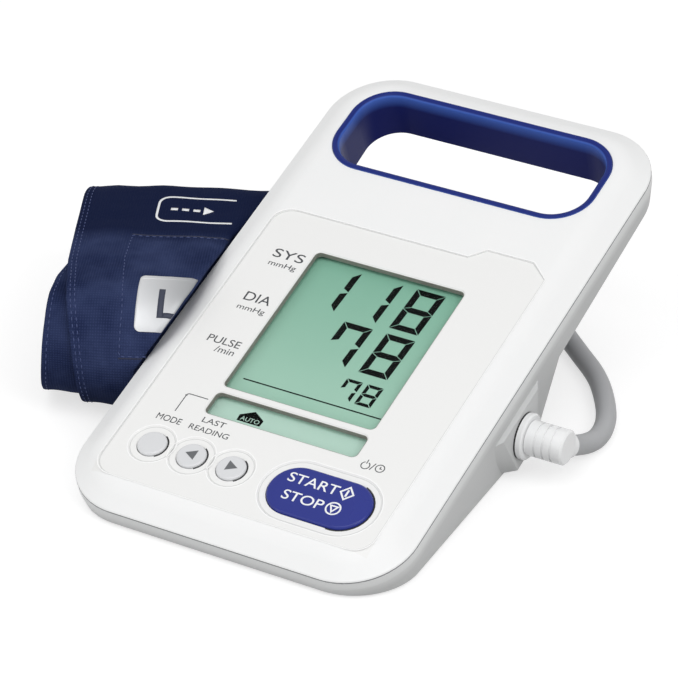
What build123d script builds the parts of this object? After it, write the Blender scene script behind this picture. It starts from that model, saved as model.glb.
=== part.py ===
from build123d import *
import os
from math import atan, cos, degrees, pi, radians, sin, tan

# Upper-arm blood pressure monitor: a desk unit with a carrying handle, an air plug and hose,
# and a rolled arm cuff lying beside it. All sizes are in millimetres.
# X runs to the right, Y to the back, Z up. The set stands on Z = 0, and the origin is the
# middle of the footprint of unit and cuff together.

os.makedirs("parts", exist_ok=True)

# ---------------------------------------------------------------- driving dimensions: unit
unit_x = 36.66           # the unit's middle plane
unit_y = -105.0          # lower edge of the face
tilt = 18.0              # slope of the face against the table
face_height = 12.0       # lower edge of the face above the table
width = 123.0
length = 213.0
corner_r = 23.0
wall = 2.2
parting = 5.6            # depth of the joint between the two covers
band = 9.0               # depth at which the side walls start to lean in
draft_angle = 10.0
crown_width = 8.5        # the face slopes down towards its rim over this width
crown_fall = 5.2
crown_blend = 14.0
rim_r = 0.6
foot_height = 1.0
knee_v = 124.6           # where the wedge ends and the handle part starts
knee_depth = 22.0
end_depth = 16.0         # thickness at the far end of the handle
rear_lean = 12.4
clearance = 0.15         # between pieces that are fitted together
slide_gap = 0.25         # round each key

# Recessed field, display windows and keys on the face (x across, v up the face).
field_half = width / 2 - 10.8
field_low = 10.5
field_high = 137.5
field_depth = 0.5
field_r = 7.0
tab_low_x = 24.0
tab_height = 5.0
window_bevel = 0.4
parting_bevel = 0.3      # on the lower cover where the two meet
window_half = 28.3
window_low = 57.6
window_high = 122.9
strip_low = 45.1
strip_high = 54.9
window_r = 2.0
key_first_x = -37.0
key_pitch = 14.85
key_v = 26.9
key_r = 5.0
key_rise = 0.6
key_travel = 0.8
flange_width = 1.0
flange_thick = 1.0
dish_width = 3.0
start_x = 25.7
start_v = 26.0
start_half = 18.2
start_r = 9.8

# Handle opening and its liner.
handle_half = width / 2 - 11.6
handle_high = length - 10.8
handle_low = handle_high - 40.4
handle_r = 15.0
liner_wall = 2.4
liner_rise = 0.7
liner_taper = 1.5

# Layers under the face, as depths.
ceiling = wall + field_depth
pane_thick = 1.2
glass_thick = 2.0
guide_thick = 2.0
layer_gap = 0.2
board_depth = 9.0
board_thick = 1.6
board_half = width / 2 - 12.5
board_low = 14.0
board_high = 128.0
module_half = 31.0
module_low = 42.0
module_high = 126.0
module_wall = 2.5
switch_size = 6.0
switch_height = 3.0
plunger_height = 0.8
plunger_r = 1.7

# Screws, pillars and feet.
pillar_r = 3.6
pillar_end = 8.0         # where a cover's pillar meets the other cover's pillar
pillar_inset = 8.5       # from the unit's sides
pillar_low = 38.0
pillar_below = 14.6      # under the handle opening
corner_inset = 14.0      # of the two far pillars, from the sides
corner_end = 11.5        # and from the far end
board_post_r = 3.0
board_post_inset = 4.0   # from the board's sides
board_post_low = 31.0    # from the board's lower end
board_post_high = 8.0    # from its upper end
board_hole_r = 1.3
board_screw_r = 1.0
board_head_r = 2.2
board_head_thick = 1.4
screw_r = 1.4
screw_head_r = 2.6
screw_head_thick = 2.0
recess_length = 3.4      # cross recess in the screw heads
recess_width = 0.8
recess_depth = 1.0
screw_seat = 12.0
screw_tip = 4.0
foot_r = 5.5
foot_inset_x = 15.0
foot_front_y = 14.0      # behind the lower edge of the face
foot_rear_y = 107.0
foot_sink = 1.0
tongue_thick = 0.9
tongue_height = 1.4

# Air port on the right side.
port_y = -9.0
port_z = 15.6
boss_out = width / 2 + 0.1
boss_thick = 7.5
boss_face_width = 25.0
boss_face_height = 19.0
boss_foot_width = 60.0
boss_foot_height = 27.0
port_hole_r = 5.2
socket_barrel_r = 5.0
socket_flange_r = 7.9
socket_flange_thick = 2.0
socket_depth = 14.0
socket_bore_r = 3.2
gasket_thick = 0.6
plug_r = 6.0
plug_length = 13.3
plug_nipple_r = 3.13
plug_nipple_length = 10.0
plug_bore_r = 1.3
plug_rib = 0.5
ring_groove = 0.9        # depth of the O-ring's groove in the nipple
ring_r = 0.44
spigot_drop = 30.0       # degrees that the hose spigot points below the horizontal
spigot_r = 4.6
spigot_x = boss_out + 11.4

# Battery bay and its cover in the underside.
bay_half = 29.6
bay_length = 54.0
bay_height = 14.0
bay_wall = 1.4
bay_ledge = 1.2
cell_r = 7.2
cell_count = 4
pack_length = 49.0
lid_half = 36.0
lid_length = 60.0
lid_thick = 2.0
lid_bevel = 1.2
lid_travel = 8.0
lid_grip_count = 5

# Air pump, valve, sensor and power inlet.
pump_x = 18.5 - width / 2
pump_front = -22.0
pump_z = 15.5
pump_tube_z = 22.4       # pump outlet and tube, above the battery bay
motor_r = 10.0
motor_length = 19.0
motor_can = 1.0
rotor_r = 7.4
shaft_r = 1.0
shaft_fit = 0.05
head_size = 20.0
head_length = 11.5
nozzle_r = 1.6
tube_d = 4.0
tube_bore = 2.2
nozzle_length = 2.0
block_x = boss_out - 19.6
block_size = 8.0
block_length = 12.0
outlet_pitch = 6.0
valve_drop = 1.6         # valve axis below the air port's axis
valve_r = 5.5
valve_length = 17.0
plunger_rod_r = 2.15
plunger_cap_r = 3.0
plunger_depth = 8.0
plunger_travel = 0.8
sensor_size = 10.0
sensor_thick = 3.5
jack_x = width / 2 - 16.5
jack_z = 14.0
jack_nose_r = 4.4
jack_bore_r = 2.9
jack_pin_r = 0.95
jack_depth = 12.0
jack_body = 10.0
jack_nose = 3.4          # length of the round nose
jack_floor = 2.5         # behind the jack's bore
buzzer_x = -30.0
buzzer_v = 24.0
buzzer_r = 4.5
buzzer_height = 3.5
tube_rise = 29.0         # pump tube: level run, and where it comes down to the block
tube_fall = 18.0

# Hose, coil and cuff.
hose_d = 7.0
coil_x = 22.0
coil_y = 68.9
coil_mid_r = 39.0
coil_rows = 2
coil_layers = 2
in_angle = 44.0          # where the hose joins the coil, from X
out_angle = 95.0
tie_width = 12.0
tie_thick = 0.8
cuff_thick = 45.2
cuff_depth = 107.2
cuff_turn = 25.0         # degrees that the roll's axis is turned from X
cuff_front_x = unit_x - width / 2 - 25.9    # a point on the front centre line of the roll
cuff_front_y = -35.6
cuff_left = 8.0          # length of the outer turn to the left of that point
cuff_inner_left = 16.0
cuff_reach = 120.0       # longer than the roll, which ends at the unit
cuff_cloth = 4.0
cuff_step = 2.0          # the inner turn, where it sticks out, is this much smaller
cuff_side_gap = 1.5      # between the roll and the unit
lean_angle = 34.0        # degrees that the roll leans over the unit's rim
lean_gap = 0.35          # between the roll and the rim that it leans over
bladder_thick = 2.0
bladder_width = 60.0
bladder_start = 4.0
bladder_length = 22.0
label_thick = 0.4
label_start = 15.5       # along the roll's axis
label_wrap = 50.0        # degrees down the front shoulder
label_flat = 6.0         # behind the shoulder, on the flat top
connector_r = 5.5
connector_length = 12.0
connector_along = 30.0   # from the middle of the roll's left part, along its axis
connector_droop = 18.5   # degrees that it points below the horizontal
hose_landing = 24.5      # from the connector to where the hose meets the table

cos_t = cos(radians(tilt))
sin_t = sin(radians(tilt))
face = Plane(
    origin=(unit_x, unit_y, face_height),
    x_dir=(1, 0, 0),
    z_dir=(0, -sin_t, cos_t),
)
side = Plane(origin=(unit_x, 0, 0), x_dir=(0, 1, 0), z_dir=(1, 0, 0))
half = width / 2
crown_angle = degrees(atan(crown_width / crown_fall))
# Inset of the cavity at the parting line, for a full wall under the sloping rim.
crown_wall = wall / cos(radians(crown_angle)) - (parting - crown_fall) * tan(radians(crown_angle))


def spot(x, v, depth):
    """Row coordinates of a point given across, up and into the face."""
    return face.from_local_coords((x, v, -depth))


def layer(depth):
    """Plane parallel to the face at a depth below it."""
    return face.offset(-depth)


def height_over(y, depth):
    """Height of the layer at that depth above a row position y."""
    return face_height + (y - unit_y) * tan(radians(tilt)) - depth / cos_t


def save(part, name):
    part.label = name
    export_step(part, f"parts/{name}.step")


knee = spot(0, knee_v, knee_depth)
rear_y = knee.Y - (knee.Z - foot_height) * tan(radians(rear_lean))


# ---------------------------------------------------------------- shared forms
def outline(inset):
    """Rounded outline of the unit in the face's plane, drawn in by inset."""
    with BuildSketch(Plane.XY, mode=Mode.PRIVATE) as shape:
        with Locations((0, length / 2)):
            RectangleRounded(width - 2 * inset, length - 2 * inset, corner_r - inset)
    return shape.sketch


def opening(grow):
    """Rounded outline of the handle opening, drawn out by grow."""
    with BuildSketch(Plane.XY, mode=Mode.PRIVATE) as shape:
        with Locations((0, (handle_low + handle_high) / 2)):
            RectangleRounded(
                2 * (handle_half + grow), handle_high - handle_low + 2 * grow, handle_r + grow
            )
    return shape.sketch


def profile(inset):
    """Side view of the unit: flat base, leaning rear wall and handle underside."""
    above = 30.0
    past = 20.0
    slope = (knee_depth - end_depth) / (length - knee_v)
    front_top = spot(0, -past, -above)
    far_low = spot(0, length + past, end_depth - slope * past)
    far_top = spot(0, length + past, -above)
    with BuildSketch(Plane.XY, mode=Mode.PRIVATE) as shape:
        with BuildLine():
            Polyline(
                (front_top.Y, front_top.Z),
                (unit_y - past, foot_height),
                (rear_y, foot_height),
                (knee.Y, knee.Z),
                (far_low.Y, far_low.Z),
                (far_top.Y, far_top.Z),
                close=True,
            )
        make_face()
        if inset:
            offset(amount=-inset, kind=Kind.INTERSECTION)
    return shape.sketch


def shell_form(inset):
    """Solid form of the unit below the parting line, drawn in by inset."""
    with BuildPart() as form:
        with BuildSketch(layer(parting)):
            add(outline(inset))
        extrude(amount=-(band - parting))
        with BuildSketch(layer(band)):
            add(outline(inset))
        extrude(amount=-50, taper=draft_angle)
        with BuildSketch(side.offset(-width)):
            add(profile(inset))
        extrude(amount=2 * width, mode=Mode.INTERSECT)
    return form.part


def stadium(centre, half_length, radius):
    """Slot-shaped outline with its long axis along X."""
    with BuildSketch(Plane.XY, mode=Mode.PRIVATE) as shape:
        with Locations(centre):
            SlotOverall(2 * half_length, 2 * radius)
    return shape.sketch


sides = (-1, 1)
pillar_spots = [
    (sx * (half - pillar_inset), v)
    for sx in sides
    for v in (pillar_low, handle_low - pillar_below)
]
pillar_spots += [(sx * (half - corner_inset), length - corner_end) for sx in sides]
board_spots = [
    (sx * (board_half - board_post_inset), v)
    for sx in sides
    for v in (board_low + board_post_low, board_high - board_post_high)
]
key_spots = [(key_first_x + i * key_pitch, key_v) for i in range(3)]

# ---------------------------------------------------------------- front cover
with BuildPart() as front_cover:
    with BuildSketch(layer(parting)):
        add(outline(0))
    extrude(amount=parting - crown_fall)
    with BuildSketch(layer(crown_fall)):
        add(outline(0))
    extrude(amount=crown_fall, taper=crown_angle)
    levels = front_cover.edges().group_by(Axis(face.origin, face.z_dir))
    fillet(levels[-1], radius=crown_blend)
    rim = front_cover.edges().filter_by_position(
        Axis(face.origin, face.z_dir), -crown_fall - 0.01, -crown_fall + 0.01
    )
    fillet(rim, radius=rim_r)
    with BuildSketch(layer(parting)):
        add(outline(crown_wall))
    extrude(amount=parting - ceiling, taper=crown_angle, mode=Mode.SUBTRACT)
    # Recessed field with its raised-out tab at the upper right.
    with BuildSketch(layer(field_depth)):
        with Locations((0, (field_low + field_high) / 2)):
            RectangleRounded(2 * field_half, field_high - field_low, field_r)
        with BuildLine():
            Polyline(
                (tab_low_x - tab_height, field_high - field_r),
                (tab_low_x - tab_height / 2, field_high),
                (tab_low_x + tab_height / 2, field_high + tab_height),
                (field_half - field_r, field_high + tab_height),
                (field_half, field_high - 1),
                (field_half, field_high - field_r),
                close=True,
            )
        make_face()
    extrude(amount=field_depth + 1, mode=Mode.SUBTRACT)
    # Shallow dishes round the keys.
    with BuildSketch(layer(field_depth)):
        with Locations(*key_spots):
            Circle(key_r + dish_width)
        add(stadium((start_x, start_v), start_half + dish_width, start_r + dish_width))
    extrude(amount=-0.4, taper=45, mode=Mode.SUBTRACT)
    # Pillars for the housing screws and for the board.
    with BuildSketch(layer(ceiling)):
        with Locations(*pillar_spots):
            Circle(pillar_r)
    extrude(amount=-(pillar_end - ceiling))
    with BuildSketch(layer(ceiling)):
        with Locations(*board_spots):
            Circle(board_post_r)
    extrude(amount=-(board_depth - ceiling))
    with BuildSketch(layer(screw_tip)):
        with Locations(*pillar_spots):
            Circle(screw_r)
        with Locations(*board_spots):
            Circle(board_screw_r)
    extrude(amount=-board_depth, mode=Mode.SUBTRACT)
    # Windows, key holes and the handle opening.
    with BuildSketch(layer(parting)):
        with Locations((0, (window_low + window_high) / 2)):
            RectangleRounded(2 * window_half, window_high - window_low, window_r)
        with Locations((0, (strip_low + strip_high) / 2)):
            RectangleRounded(2 * window_half, strip_high - strip_low, window_r)
        with Locations(*key_spots):
            Circle(key_r + slide_gap)
        add(stadium((start_x, start_v), start_half + slide_gap, start_r + slide_gap))
        add(opening(0))
    extrude(amount=parting + 1, mode=Mode.SUBTRACT)
    with BuildSketch(layer(field_depth)):
        for low, high in ((window_low, window_high), (strip_low, strip_high)):
            with Locations((0, (low + high) / 2)):
                RectangleRounded(
                    2 * (window_half + window_bevel),
                    high - low + 2 * window_bevel,
                    window_r + window_bevel,
                )
    extrude(amount=-window_bevel, taper=45, mode=Mode.SUBTRACT)
    # Tongue that drops inside the rear cover's rim.
    with BuildSketch(layer(parting)):
        add(outline(wall - tongue_thick))
        add(outline(wall), mode=Mode.SUBTRACT)
    extrude(amount=-tongue_height)
save(front_cover.part, "front_cover")

# ---------------------------------------------------------------- rear cover
cavity = shell_form(wall)
bay_floor = foot_height + wall + bay_ledge
bay_y = rear_y - 3 - bay_length / 2
lid_plane = Plane(
    origin=(unit_x, rear_y - lid_length, foot_height), x_dir=(1, 0, 0), z_dir=(0, -1, 0)
)
through = 40.0           # longer than any hole through the lower cover is deep
foot_spots = [
    (unit_x + sx * (half - foot_inset_x), unit_y + y)
    for sx in sides
    for y in (foot_front_y, foot_rear_y)
]


def dovetail(gap):
    """Cross-section of the battery lid, which is wider inside than outside."""
    low = lid_half - lid_bevel + gap
    high = lid_half + gap
    with BuildSketch(Plane.XY, mode=Mode.PRIVATE) as shape:
        with BuildLine():
            Polyline(
                (-low, 0), (low, 0), (high, lid_thick + gap), (-high, lid_thick + gap), close=True
            )
        make_face()
    return shape.sketch


with BuildPart() as rear_cover:
    add(shell_form(0))
    upper_rim = rear_cover.edges().group_by(Axis(face.origin, face.z_dir))[-1]
    chamfer(upper_rim, length=parting_bevel)
    add(cavity, mode=Mode.SUBTRACT)
    # Rebate for the front cover's tongue.
    with BuildSketch(layer(parting)):
        add(outline(wall - tongue_thick - clearance))
        add(outline(wall), mode=Mode.SUBTRACT)
    extrude(amount=-(tongue_height + clearance), mode=Mode.SUBTRACT)
    # Boss that brings the air port out to the side's full width, with sloped facets.
    with BuildSketch(side.offset(boss_out)):
        with Locations((port_y, port_z)):
            Trapezoid(boss_face_width, boss_face_height, 75, rotation=tilt - 180)
    with BuildSketch(side.offset(boss_out - boss_thick)):
        with Locations((port_y - 1, port_z + 1)):
            Trapezoid(boss_foot_width, boss_foot_height, 52, rotation=tilt - 180)
    loft()
    # Pillars for the housing screws.
    with BuildSketch(layer(pillar_end)):
        with Locations(*pillar_spots):
            Circle(pillar_r)
    extrude(amount=-through)
    # Battery bay: ledge round its mouth, walls and roof.
    with BuildSketch(Plane.XY.offset(foot_height + wall)):
        with Locations((unit_x, rear_y - lid_length / 2)):
            Rectangle(2 * (lid_half + bay_wall), lid_length + 2 * bay_wall)
    extrude(amount=bay_ledge)
    with BuildSketch(Plane.XY.offset(bay_floor)):
        with Locations((unit_x, bay_y)):
            Rectangle(2 * (bay_half + bay_wall), bay_length + 2 * bay_wall)
    extrude(amount=bay_height + bay_wall)
    with BuildSketch(side.offset(-width)):
        add(profile(0))
    extrude(amount=2 * width, mode=Mode.INTERSECT)
    with BuildSketch(Plane.XY.offset(foot_height)):
        with Locations((unit_x, bay_y)):
            Rectangle(2 * bay_half, bay_length)
    extrude(amount=bay_floor - foot_height + bay_height, mode=Mode.SUBTRACT)
    with BuildSketch(lid_plane):
        add(dovetail(clearance))
    extrude(amount=clearance, mode=Mode.SUBTRACT)
    with BuildSketch(lid_plane):
        add(dovetail(clearance))
    extrude(amount=-lid_length - 20, mode=Mode.SUBTRACT)
    # Screw holes, with the heads sunk in counterbores.
    with BuildSketch(layer(pillar_end)):
        with Locations(*pillar_spots):
            Circle(screw_r + clearance)
    extrude(amount=-through, mode=Mode.SUBTRACT)
    with BuildSketch(layer(screw_seat)):
        with Locations(*pillar_spots):
            Circle(screw_head_r + clearance)
    extrude(amount=-through, mode=Mode.SUBTRACT)
    # Handle opening, air port, power inlet and foot pockets.
    with BuildSketch(layer(parting)):
        add(opening(0))
    extrude(amount=-through, mode=Mode.SUBTRACT)
    with BuildSketch(side.offset(boss_out + 1)):
        with Locations((port_y, port_z)):
            Circle(port_hole_r)
    extrude(amount=-20, mode=Mode.SUBTRACT)
    with BuildSketch(Plane.XZ.offset(-rear_y - 20)):
        with Locations((unit_x + jack_x, jack_z)):
            Circle(jack_nose_r + clearance)
    extrude(amount=24, mode=Mode.SUBTRACT)
    with BuildSketch(Plane.XY.offset(foot_height)):
        with Locations(*foot_spots):
            Circle(foot_r + clearance)
    extrude(amount=foot_sink, mode=Mode.SUBTRACT)
save(rear_cover.part, "rear_cover")

# ---------------------------------------------------------------- handle liner
with BuildPart() as handle_liner:
    with BuildSketch(layer(-liner_rise)):
        add(opening(-clearance))
    extrude(amount=-through)
    fillet(handle_liner.edges().group_by(Axis(face.origin, face.z_dir))[-1], radius=0.6)
    with BuildSketch(side.offset(-width)):
        add(profile(0))
    extrude(amount=2 * width, mode=Mode.INTERSECT)
    with BuildSketch(layer(-liner_rise)):
        add(opening(-liner_wall))
    extrude(amount=-through, taper=liner_taper, mode=Mode.SUBTRACT)
    lip = handle_liner.faces().sort_by(Axis(face.origin, face.z_dir))[-1]
    inner_lip = lip.inner_wires()[0].edges()
    fillet(inner_lip, radius=1.4)
save(handle_liner.part, "handle_liner")

# ---------------------------------------------------------------- display
pane_depth = ceiling
glass_depth = pane_depth + pane_thick + layer_gap
guide_depth = glass_depth + glass_thick + layer_gap
module_mid = (module_low + module_high) / 2
module_tall = module_high - module_low

with BuildPart() as display_window:
    with BuildSketch(layer(pane_depth)):
        with Locations((0, module_mid)):
            RectangleRounded(2 * (module_half + module_wall), module_tall + 2 * module_wall, 2)
    extrude(amount=-pane_thick)
save(display_window.part, "display_window")

with BuildPart() as lcd_glass:
    with BuildSketch(layer(glass_depth)):
        with Locations((0, module_mid)):
            Rectangle(2 * (module_half - clearance), module_tall - 2 * clearance)
    extrude(amount=-glass_thick)
save(lcd_glass.part, "lcd_glass")

with BuildPart() as backlight_guide:
    with BuildSketch(layer(guide_depth)):
        with Locations((0, module_mid)):
            Rectangle(2 * (module_half - clearance), module_tall - 2 * clearance)
    extrude(amount=-guide_thick)
save(backlight_guide.part, "backlight_guide")

with BuildPart() as lcd_frame:
    with BuildSketch(layer(pane_depth + pane_thick)):
        with Locations((0, module_mid)):
            RectangleRounded(2 * (module_half + module_wall), module_tall + 2 * module_wall, 2)
            Rectangle(2 * module_half, module_tall, mode=Mode.SUBTRACT)
    extrude(amount=-(board_depth - pane_depth - pane_thick))
save(lcd_frame.part, "lcd_frame")

# ---------------------------------------------------------------- board and switches
with BuildPart() as main_board:
    with BuildSketch(layer(board_depth)):
        with Locations((0, (board_low + board_high) / 2)):
            RectangleRounded(2 * board_half, board_high - board_low, 3)
        with Locations(*board_spots):
            Circle(board_hole_r, mode=Mode.SUBTRACT)
    extrude(amount=-board_thick)
save(main_board.part, "main_board")

switch_spots = key_spots + [(start_x, start_v)]
with BuildPart() as tact_switches:
    with BuildSketch(layer(board_depth)):
        with Locations(*switch_spots):
            RectangleRounded(switch_size, switch_size, 0.5)
    extrude(amount=switch_height)
    with BuildSketch(layer(board_depth - switch_height)):
        with Locations(*switch_spots):
            Circle(plunger_r)
    extrude(amount=plunger_height)
save(tact_switches.part, "tact_switches")

flange_depth = ceiling + layer_gap
stem_end = board_depth - switch_height - plunger_height - key_travel - layer_gap
key_names = ["mode_button", "back_button", "forward_button"]
for name, (x, v) in zip(key_names, key_spots):
    with BuildPart() as key:
        with BuildSketch(layer(flange_depth)):
            with Locations((x, v)):
                Circle(key_r + flange_width)
        extrude(amount=-flange_thick)
        with BuildSketch(layer(flange_depth)):
            with Locations((x, v)):
                Circle(key_r)
        extrude(amount=flange_depth - field_depth + key_rise)
        fillet(key.edges().group_by(Axis(face.origin, face.z_dir))[-1], radius=0.8)
        with BuildSketch(layer(flange_depth + flange_thick)):
            with Locations((x, v)):
                Circle(plunger_r)
        extrude(amount=-(stem_end - flange_depth - flange_thick))
    save(key.part, name)

with BuildPart() as start_stop_button:
    with BuildSketch(layer(flange_depth)):
        add(stadium((start_x, start_v), start_half + flange_width, start_r + flange_width))
    extrude(amount=-flange_thick)
    with BuildSketch(layer(flange_depth)):
        add(stadium((start_x, start_v), start_half, start_r))
    extrude(amount=flange_depth - field_depth + key_rise)
    fillet(start_stop_button.edges().group_by(Axis(face.origin, face.z_dir))[-1], radius=1.0)
    with BuildSketch(layer(flange_depth + flange_thick)):
        with Locations((start_x, start_v)):
            Circle(plunger_r)
    extrude(amount=-(stem_end - flange_depth - flange_thick))
save(start_stop_button.part, "start_stop_button")

# ---------------------------------------------------------------- air port and plug
flange_in = boss_out + gasket_thick
flange_out = flange_in + socket_flange_thick
plug_in = flange_out + 0.2
barrel_in = boss_out - socket_depth
boss_in = boss_out - boss_thick

with BuildPart() as socket_gasket:
    with BuildSketch(side.offset(boss_out)):
        with Locations((port_y, port_z)):
            Circle(socket_flange_r)
            Circle(socket_barrel_r + clearance, mode=Mode.SUBTRACT)
    extrude(amount=gasket_thick)
save(socket_gasket.part, "socket_gasket")

with BuildPart() as air_socket:
    with BuildSketch(side.offset(flange_in)):
        with Locations((port_y, port_z)):
            Circle(socket_flange_r)
    extrude(amount=socket_flange_thick)
    chamfer(air_socket.edges().group_by(Axis.X)[-1], length=0.5)
    with BuildSketch(side.offset(flange_in)):
        with Locations((port_y, port_z)):
            Circle(socket_barrel_r)
    extrude(amount=barrel_in - flange_in)
    with BuildSketch(side.offset(barrel_in)):
        with Locations((port_y, port_z)):
            Circle(nozzle_r)
    extrude(amount=block_x + block_size / 2 - nozzle_length + 0.2 - barrel_in)
    with BuildSketch(side.offset(flange_out)):
        with Locations((port_y, port_z)):
            Circle(socket_bore_r)
    extrude(amount=-(flange_out - barrel_in - 2), mode=Mode.SUBTRACT)
    with BuildSketch(side.offset(flange_out)):
        with Locations((port_y, port_z)):
            Circle(nozzle_r / 2)
    extrude(amount=-through, mode=Mode.SUBTRACT)
save(air_socket.part, "air_socket")

with BuildPart() as socket_nut:
    with BuildSketch(side.offset(boss_in)):
        with Locations((port_y, port_z)):
            RegularPolygon(7.4, 6)
            Circle(socket_barrel_r + 0.02, mode=Mode.SUBTRACT)
    extrude(amount=-2.6)
save(socket_nut.part, "socket_nut")

spigot_dir = Vector(0, cos(radians(spigot_drop)), -sin(radians(spigot_drop)))
plug_axis_point = Vector(unit_x + spigot_x, port_y, port_z)
spigot_plane = Plane(origin=plug_axis_point, x_dir=(1, 0, 0), z_dir=spigot_dir)
spigot_reach = plug_r + 3.5
ring_seat = 2 * ring_r + 0.3
ring_x = plug_in - plug_nipple_length + 2.5

with BuildPart() as air_plug:
    with BuildSketch(side.offset(plug_in)):
        with Locations((port_y, port_z)):
            Circle(plug_r)
    extrude(amount=plug_length)
    chamfer(air_plug.edges().group_by(Axis.X)[-1], length=0.6)
    for i in range(3):
        with BuildSketch(side.offset(plug_in + 3.2 + i * 2.9)):
            with Locations((port_y, port_z)):
                Circle(plug_r + 1)
                Circle(plug_r - plug_rib, mode=Mode.SUBTRACT)
        extrude(amount=0.7, mode=Mode.SUBTRACT)
    with BuildSketch(spigot_plane):
        Circle(spigot_r)
    extrude(amount=spigot_reach)
    with BuildSketch(side.offset(plug_in)):
        with Locations((port_y, port_z)):
            Circle(plug_nipple_r)
    extrude(amount=-plug_nipple_length)
    with BuildSketch(side.offset(ring_x - ring_seat / 2)):
        with Locations((port_y, port_z)):
            Circle(plug_nipple_r + 1)
            Circle(plug_nipple_r - ring_groove, mode=Mode.SUBTRACT)
    extrude(amount=ring_seat, mode=Mode.SUBTRACT)
    with BuildSketch(side.offset(plug_in - plug_nipple_length)):
        with Locations((port_y, port_z)):
            Circle(plug_bore_r)
    extrude(amount=plug_nipple_length + spigot_x - plug_in, mode=Mode.SUBTRACT)
    with BuildSketch(spigot_plane):
        Circle(plug_bore_r)
    extrude(amount=spigot_reach, mode=Mode.SUBTRACT)
save(air_plug.part, "air_plug")

with BuildPart() as plug_o_ring:
    with BuildSketch(Plane.XY.offset(port_z)):
        with Locations((unit_x + ring_x, port_y + plug_nipple_r - ring_groove + ring_r + 0.02)):
            Circle(ring_r)
    revolve(axis=Axis((unit_x, port_y, port_z), (1, 0, 0)), revolution_arc=360)
save(plug_o_ring.part, "plug_o_ring")

# ---------------------------------------------------------------- power: bay, lid, pack, inlet
with BuildPart() as battery_cover:
    with BuildSketch(lid_plane):
        add(dovetail(0))
    extrude(amount=-lid_length)
    with BuildSketch(Plane.XY.offset(foot_height)):
        with Locations((unit_x, rear_y - 12)):
            with GridLocations(1, 2.4, 1, lid_grip_count):
                Rectangle(26, 1.1)
    extrude(amount=0.5, mode=Mode.SUBTRACT)
save(battery_cover.part, "battery_cover")

pack_z = foot_height + lid_thick + 0.3 + cell_r
pack_plane = Plane(
    origin=(unit_x, bay_y + bay_length / 2 - 0.4, pack_z), x_dir=(1, 0, 0), z_dir=(0, -1, 0)
)
with BuildPart() as battery_pack:
    with BuildSketch(pack_plane):
        with GridLocations(2 * cell_r, 1, cell_count, 1):
            Circle(cell_r)
        Rectangle(2 * cell_r * (cell_count - 1), 1.2 * cell_r)
    extrude(amount=pack_length)
save(battery_pack.part, "battery_pack")

with BuildPart() as pack_connector:
    with BuildSketch(pack_plane.offset(pack_length)):
        RectangleRounded(9, 6, 0.8)
    extrude(amount=3.5)
save(pack_connector.part, "pack_connector")

jack_face = rear_y + (jack_z - foot_height) * tan(radians(rear_lean)) - 1.0
jack_plane = Plane(origin=(unit_x + jack_x, jack_face, jack_z), x_dir=(1, 0, 0), z_dir=(0, 1, 0))
with BuildPart() as dc_jack:
    with BuildSketch(jack_plane):
        Circle(jack_nose_r)
    extrude(amount=-jack_depth)
    with BuildSketch(jack_plane.offset(-jack_nose)):
        Rectangle(jack_body, jack_body)
    extrude(amount=-(jack_depth - jack_nose))
    with BuildSketch(jack_plane):
        Circle(jack_bore_r)
        Circle(jack_pin_r, mode=Mode.SUBTRACT)
    extrude(amount=-(jack_depth - jack_floor), mode=Mode.SUBTRACT)
save(dc_jack.part, "dc_jack")

# ---------------------------------------------------------------- pump and air block
pump_axis = Plane(
    origin=(unit_x + pump_x, pump_front, pump_z), x_dir=(1, 0, 0), z_dir=(0, 1, 0)
)
with BuildPart() as pump_motor:
    with BuildSketch(pump_axis):
        Circle(motor_r)
    extrude(amount=motor_length)
    with BuildSketch(pump_axis.offset(motor_can)):
        Circle(motor_r - motor_can)
    extrude(amount=motor_length - 2 * motor_can, mode=Mode.SUBTRACT)
    with BuildSketch(pump_axis):
        Circle(shaft_r + shaft_fit)
    extrude(amount=motor_length, mode=Mode.SUBTRACT)
save(pump_motor.part, "pump_motor")

with BuildPart() as pump_rotor:
    with BuildSketch(pump_axis.offset(motor_can + 2)):
        with PolarLocations(0, 3):
            SlotOverall(2 * rotor_r, 4.5)
        Circle(4.5)
    extrude(amount=motor_length - 2 * motor_can - 5)
    with BuildSketch(pump_axis.offset(-1)):
        Circle(shaft_r)
    extrude(amount=motor_length + 4)
save(pump_rotor.part, "pump_rotor")

with BuildPart() as pump_head:
    with BuildSketch(pump_axis.offset(motor_length)):
        RectangleRounded(head_size, head_size, 3)
    extrude(amount=head_length)
    with BuildSketch(pump_axis.offset(motor_length)):
        Circle(5)
    extrude(amount=5, mode=Mode.SUBTRACT)
    with BuildSketch(side.offset(pump_x + head_size / 2)):
        with Locations((pump_front + motor_length + head_length / 2, pump_tube_z)):
            Circle(nozzle_r)
    extrude(amount=nozzle_length)
save(pump_head.part, "pump_head")

with BuildPart() as pump_cradle:
    with BuildSketch(pump_axis.offset(4)):
        with Locations((0, -(pump_z - foot_height - wall) / 2)):
            Rectangle(2 * motor_r - 2, pump_z - foot_height - wall)
        Circle(motor_r + 0.02, mode=Mode.SUBTRACT)
    extrude(amount=10)
save(pump_cradle.part, "pump_cradle")

block_top = port_z + block_size / 2
with BuildPart() as air_block:
    with BuildSketch(Plane.XY.offset(port_z - block_size / 2)):
        with Locations((unit_x + block_x, port_y)):
            RectangleRounded(block_size, block_length, 1)
    extrude(amount=block_size)
    with BuildSketch(side.offset(block_x + block_size / 2)):
        with Locations((port_y, port_z)):
            Circle(nozzle_r + shaft_fit)
    extrude(amount=-nozzle_length, mode=Mode.SUBTRACT)
    with BuildSketch(Plane.XY.offset(block_top)):
        with Locations((unit_x + block_x, port_y)):
            with GridLocations(1, outlet_pitch, 1, 2):
                Circle(nozzle_r)
    extrude(amount=nozzle_length)
save(air_block.part, "air_block")

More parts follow.
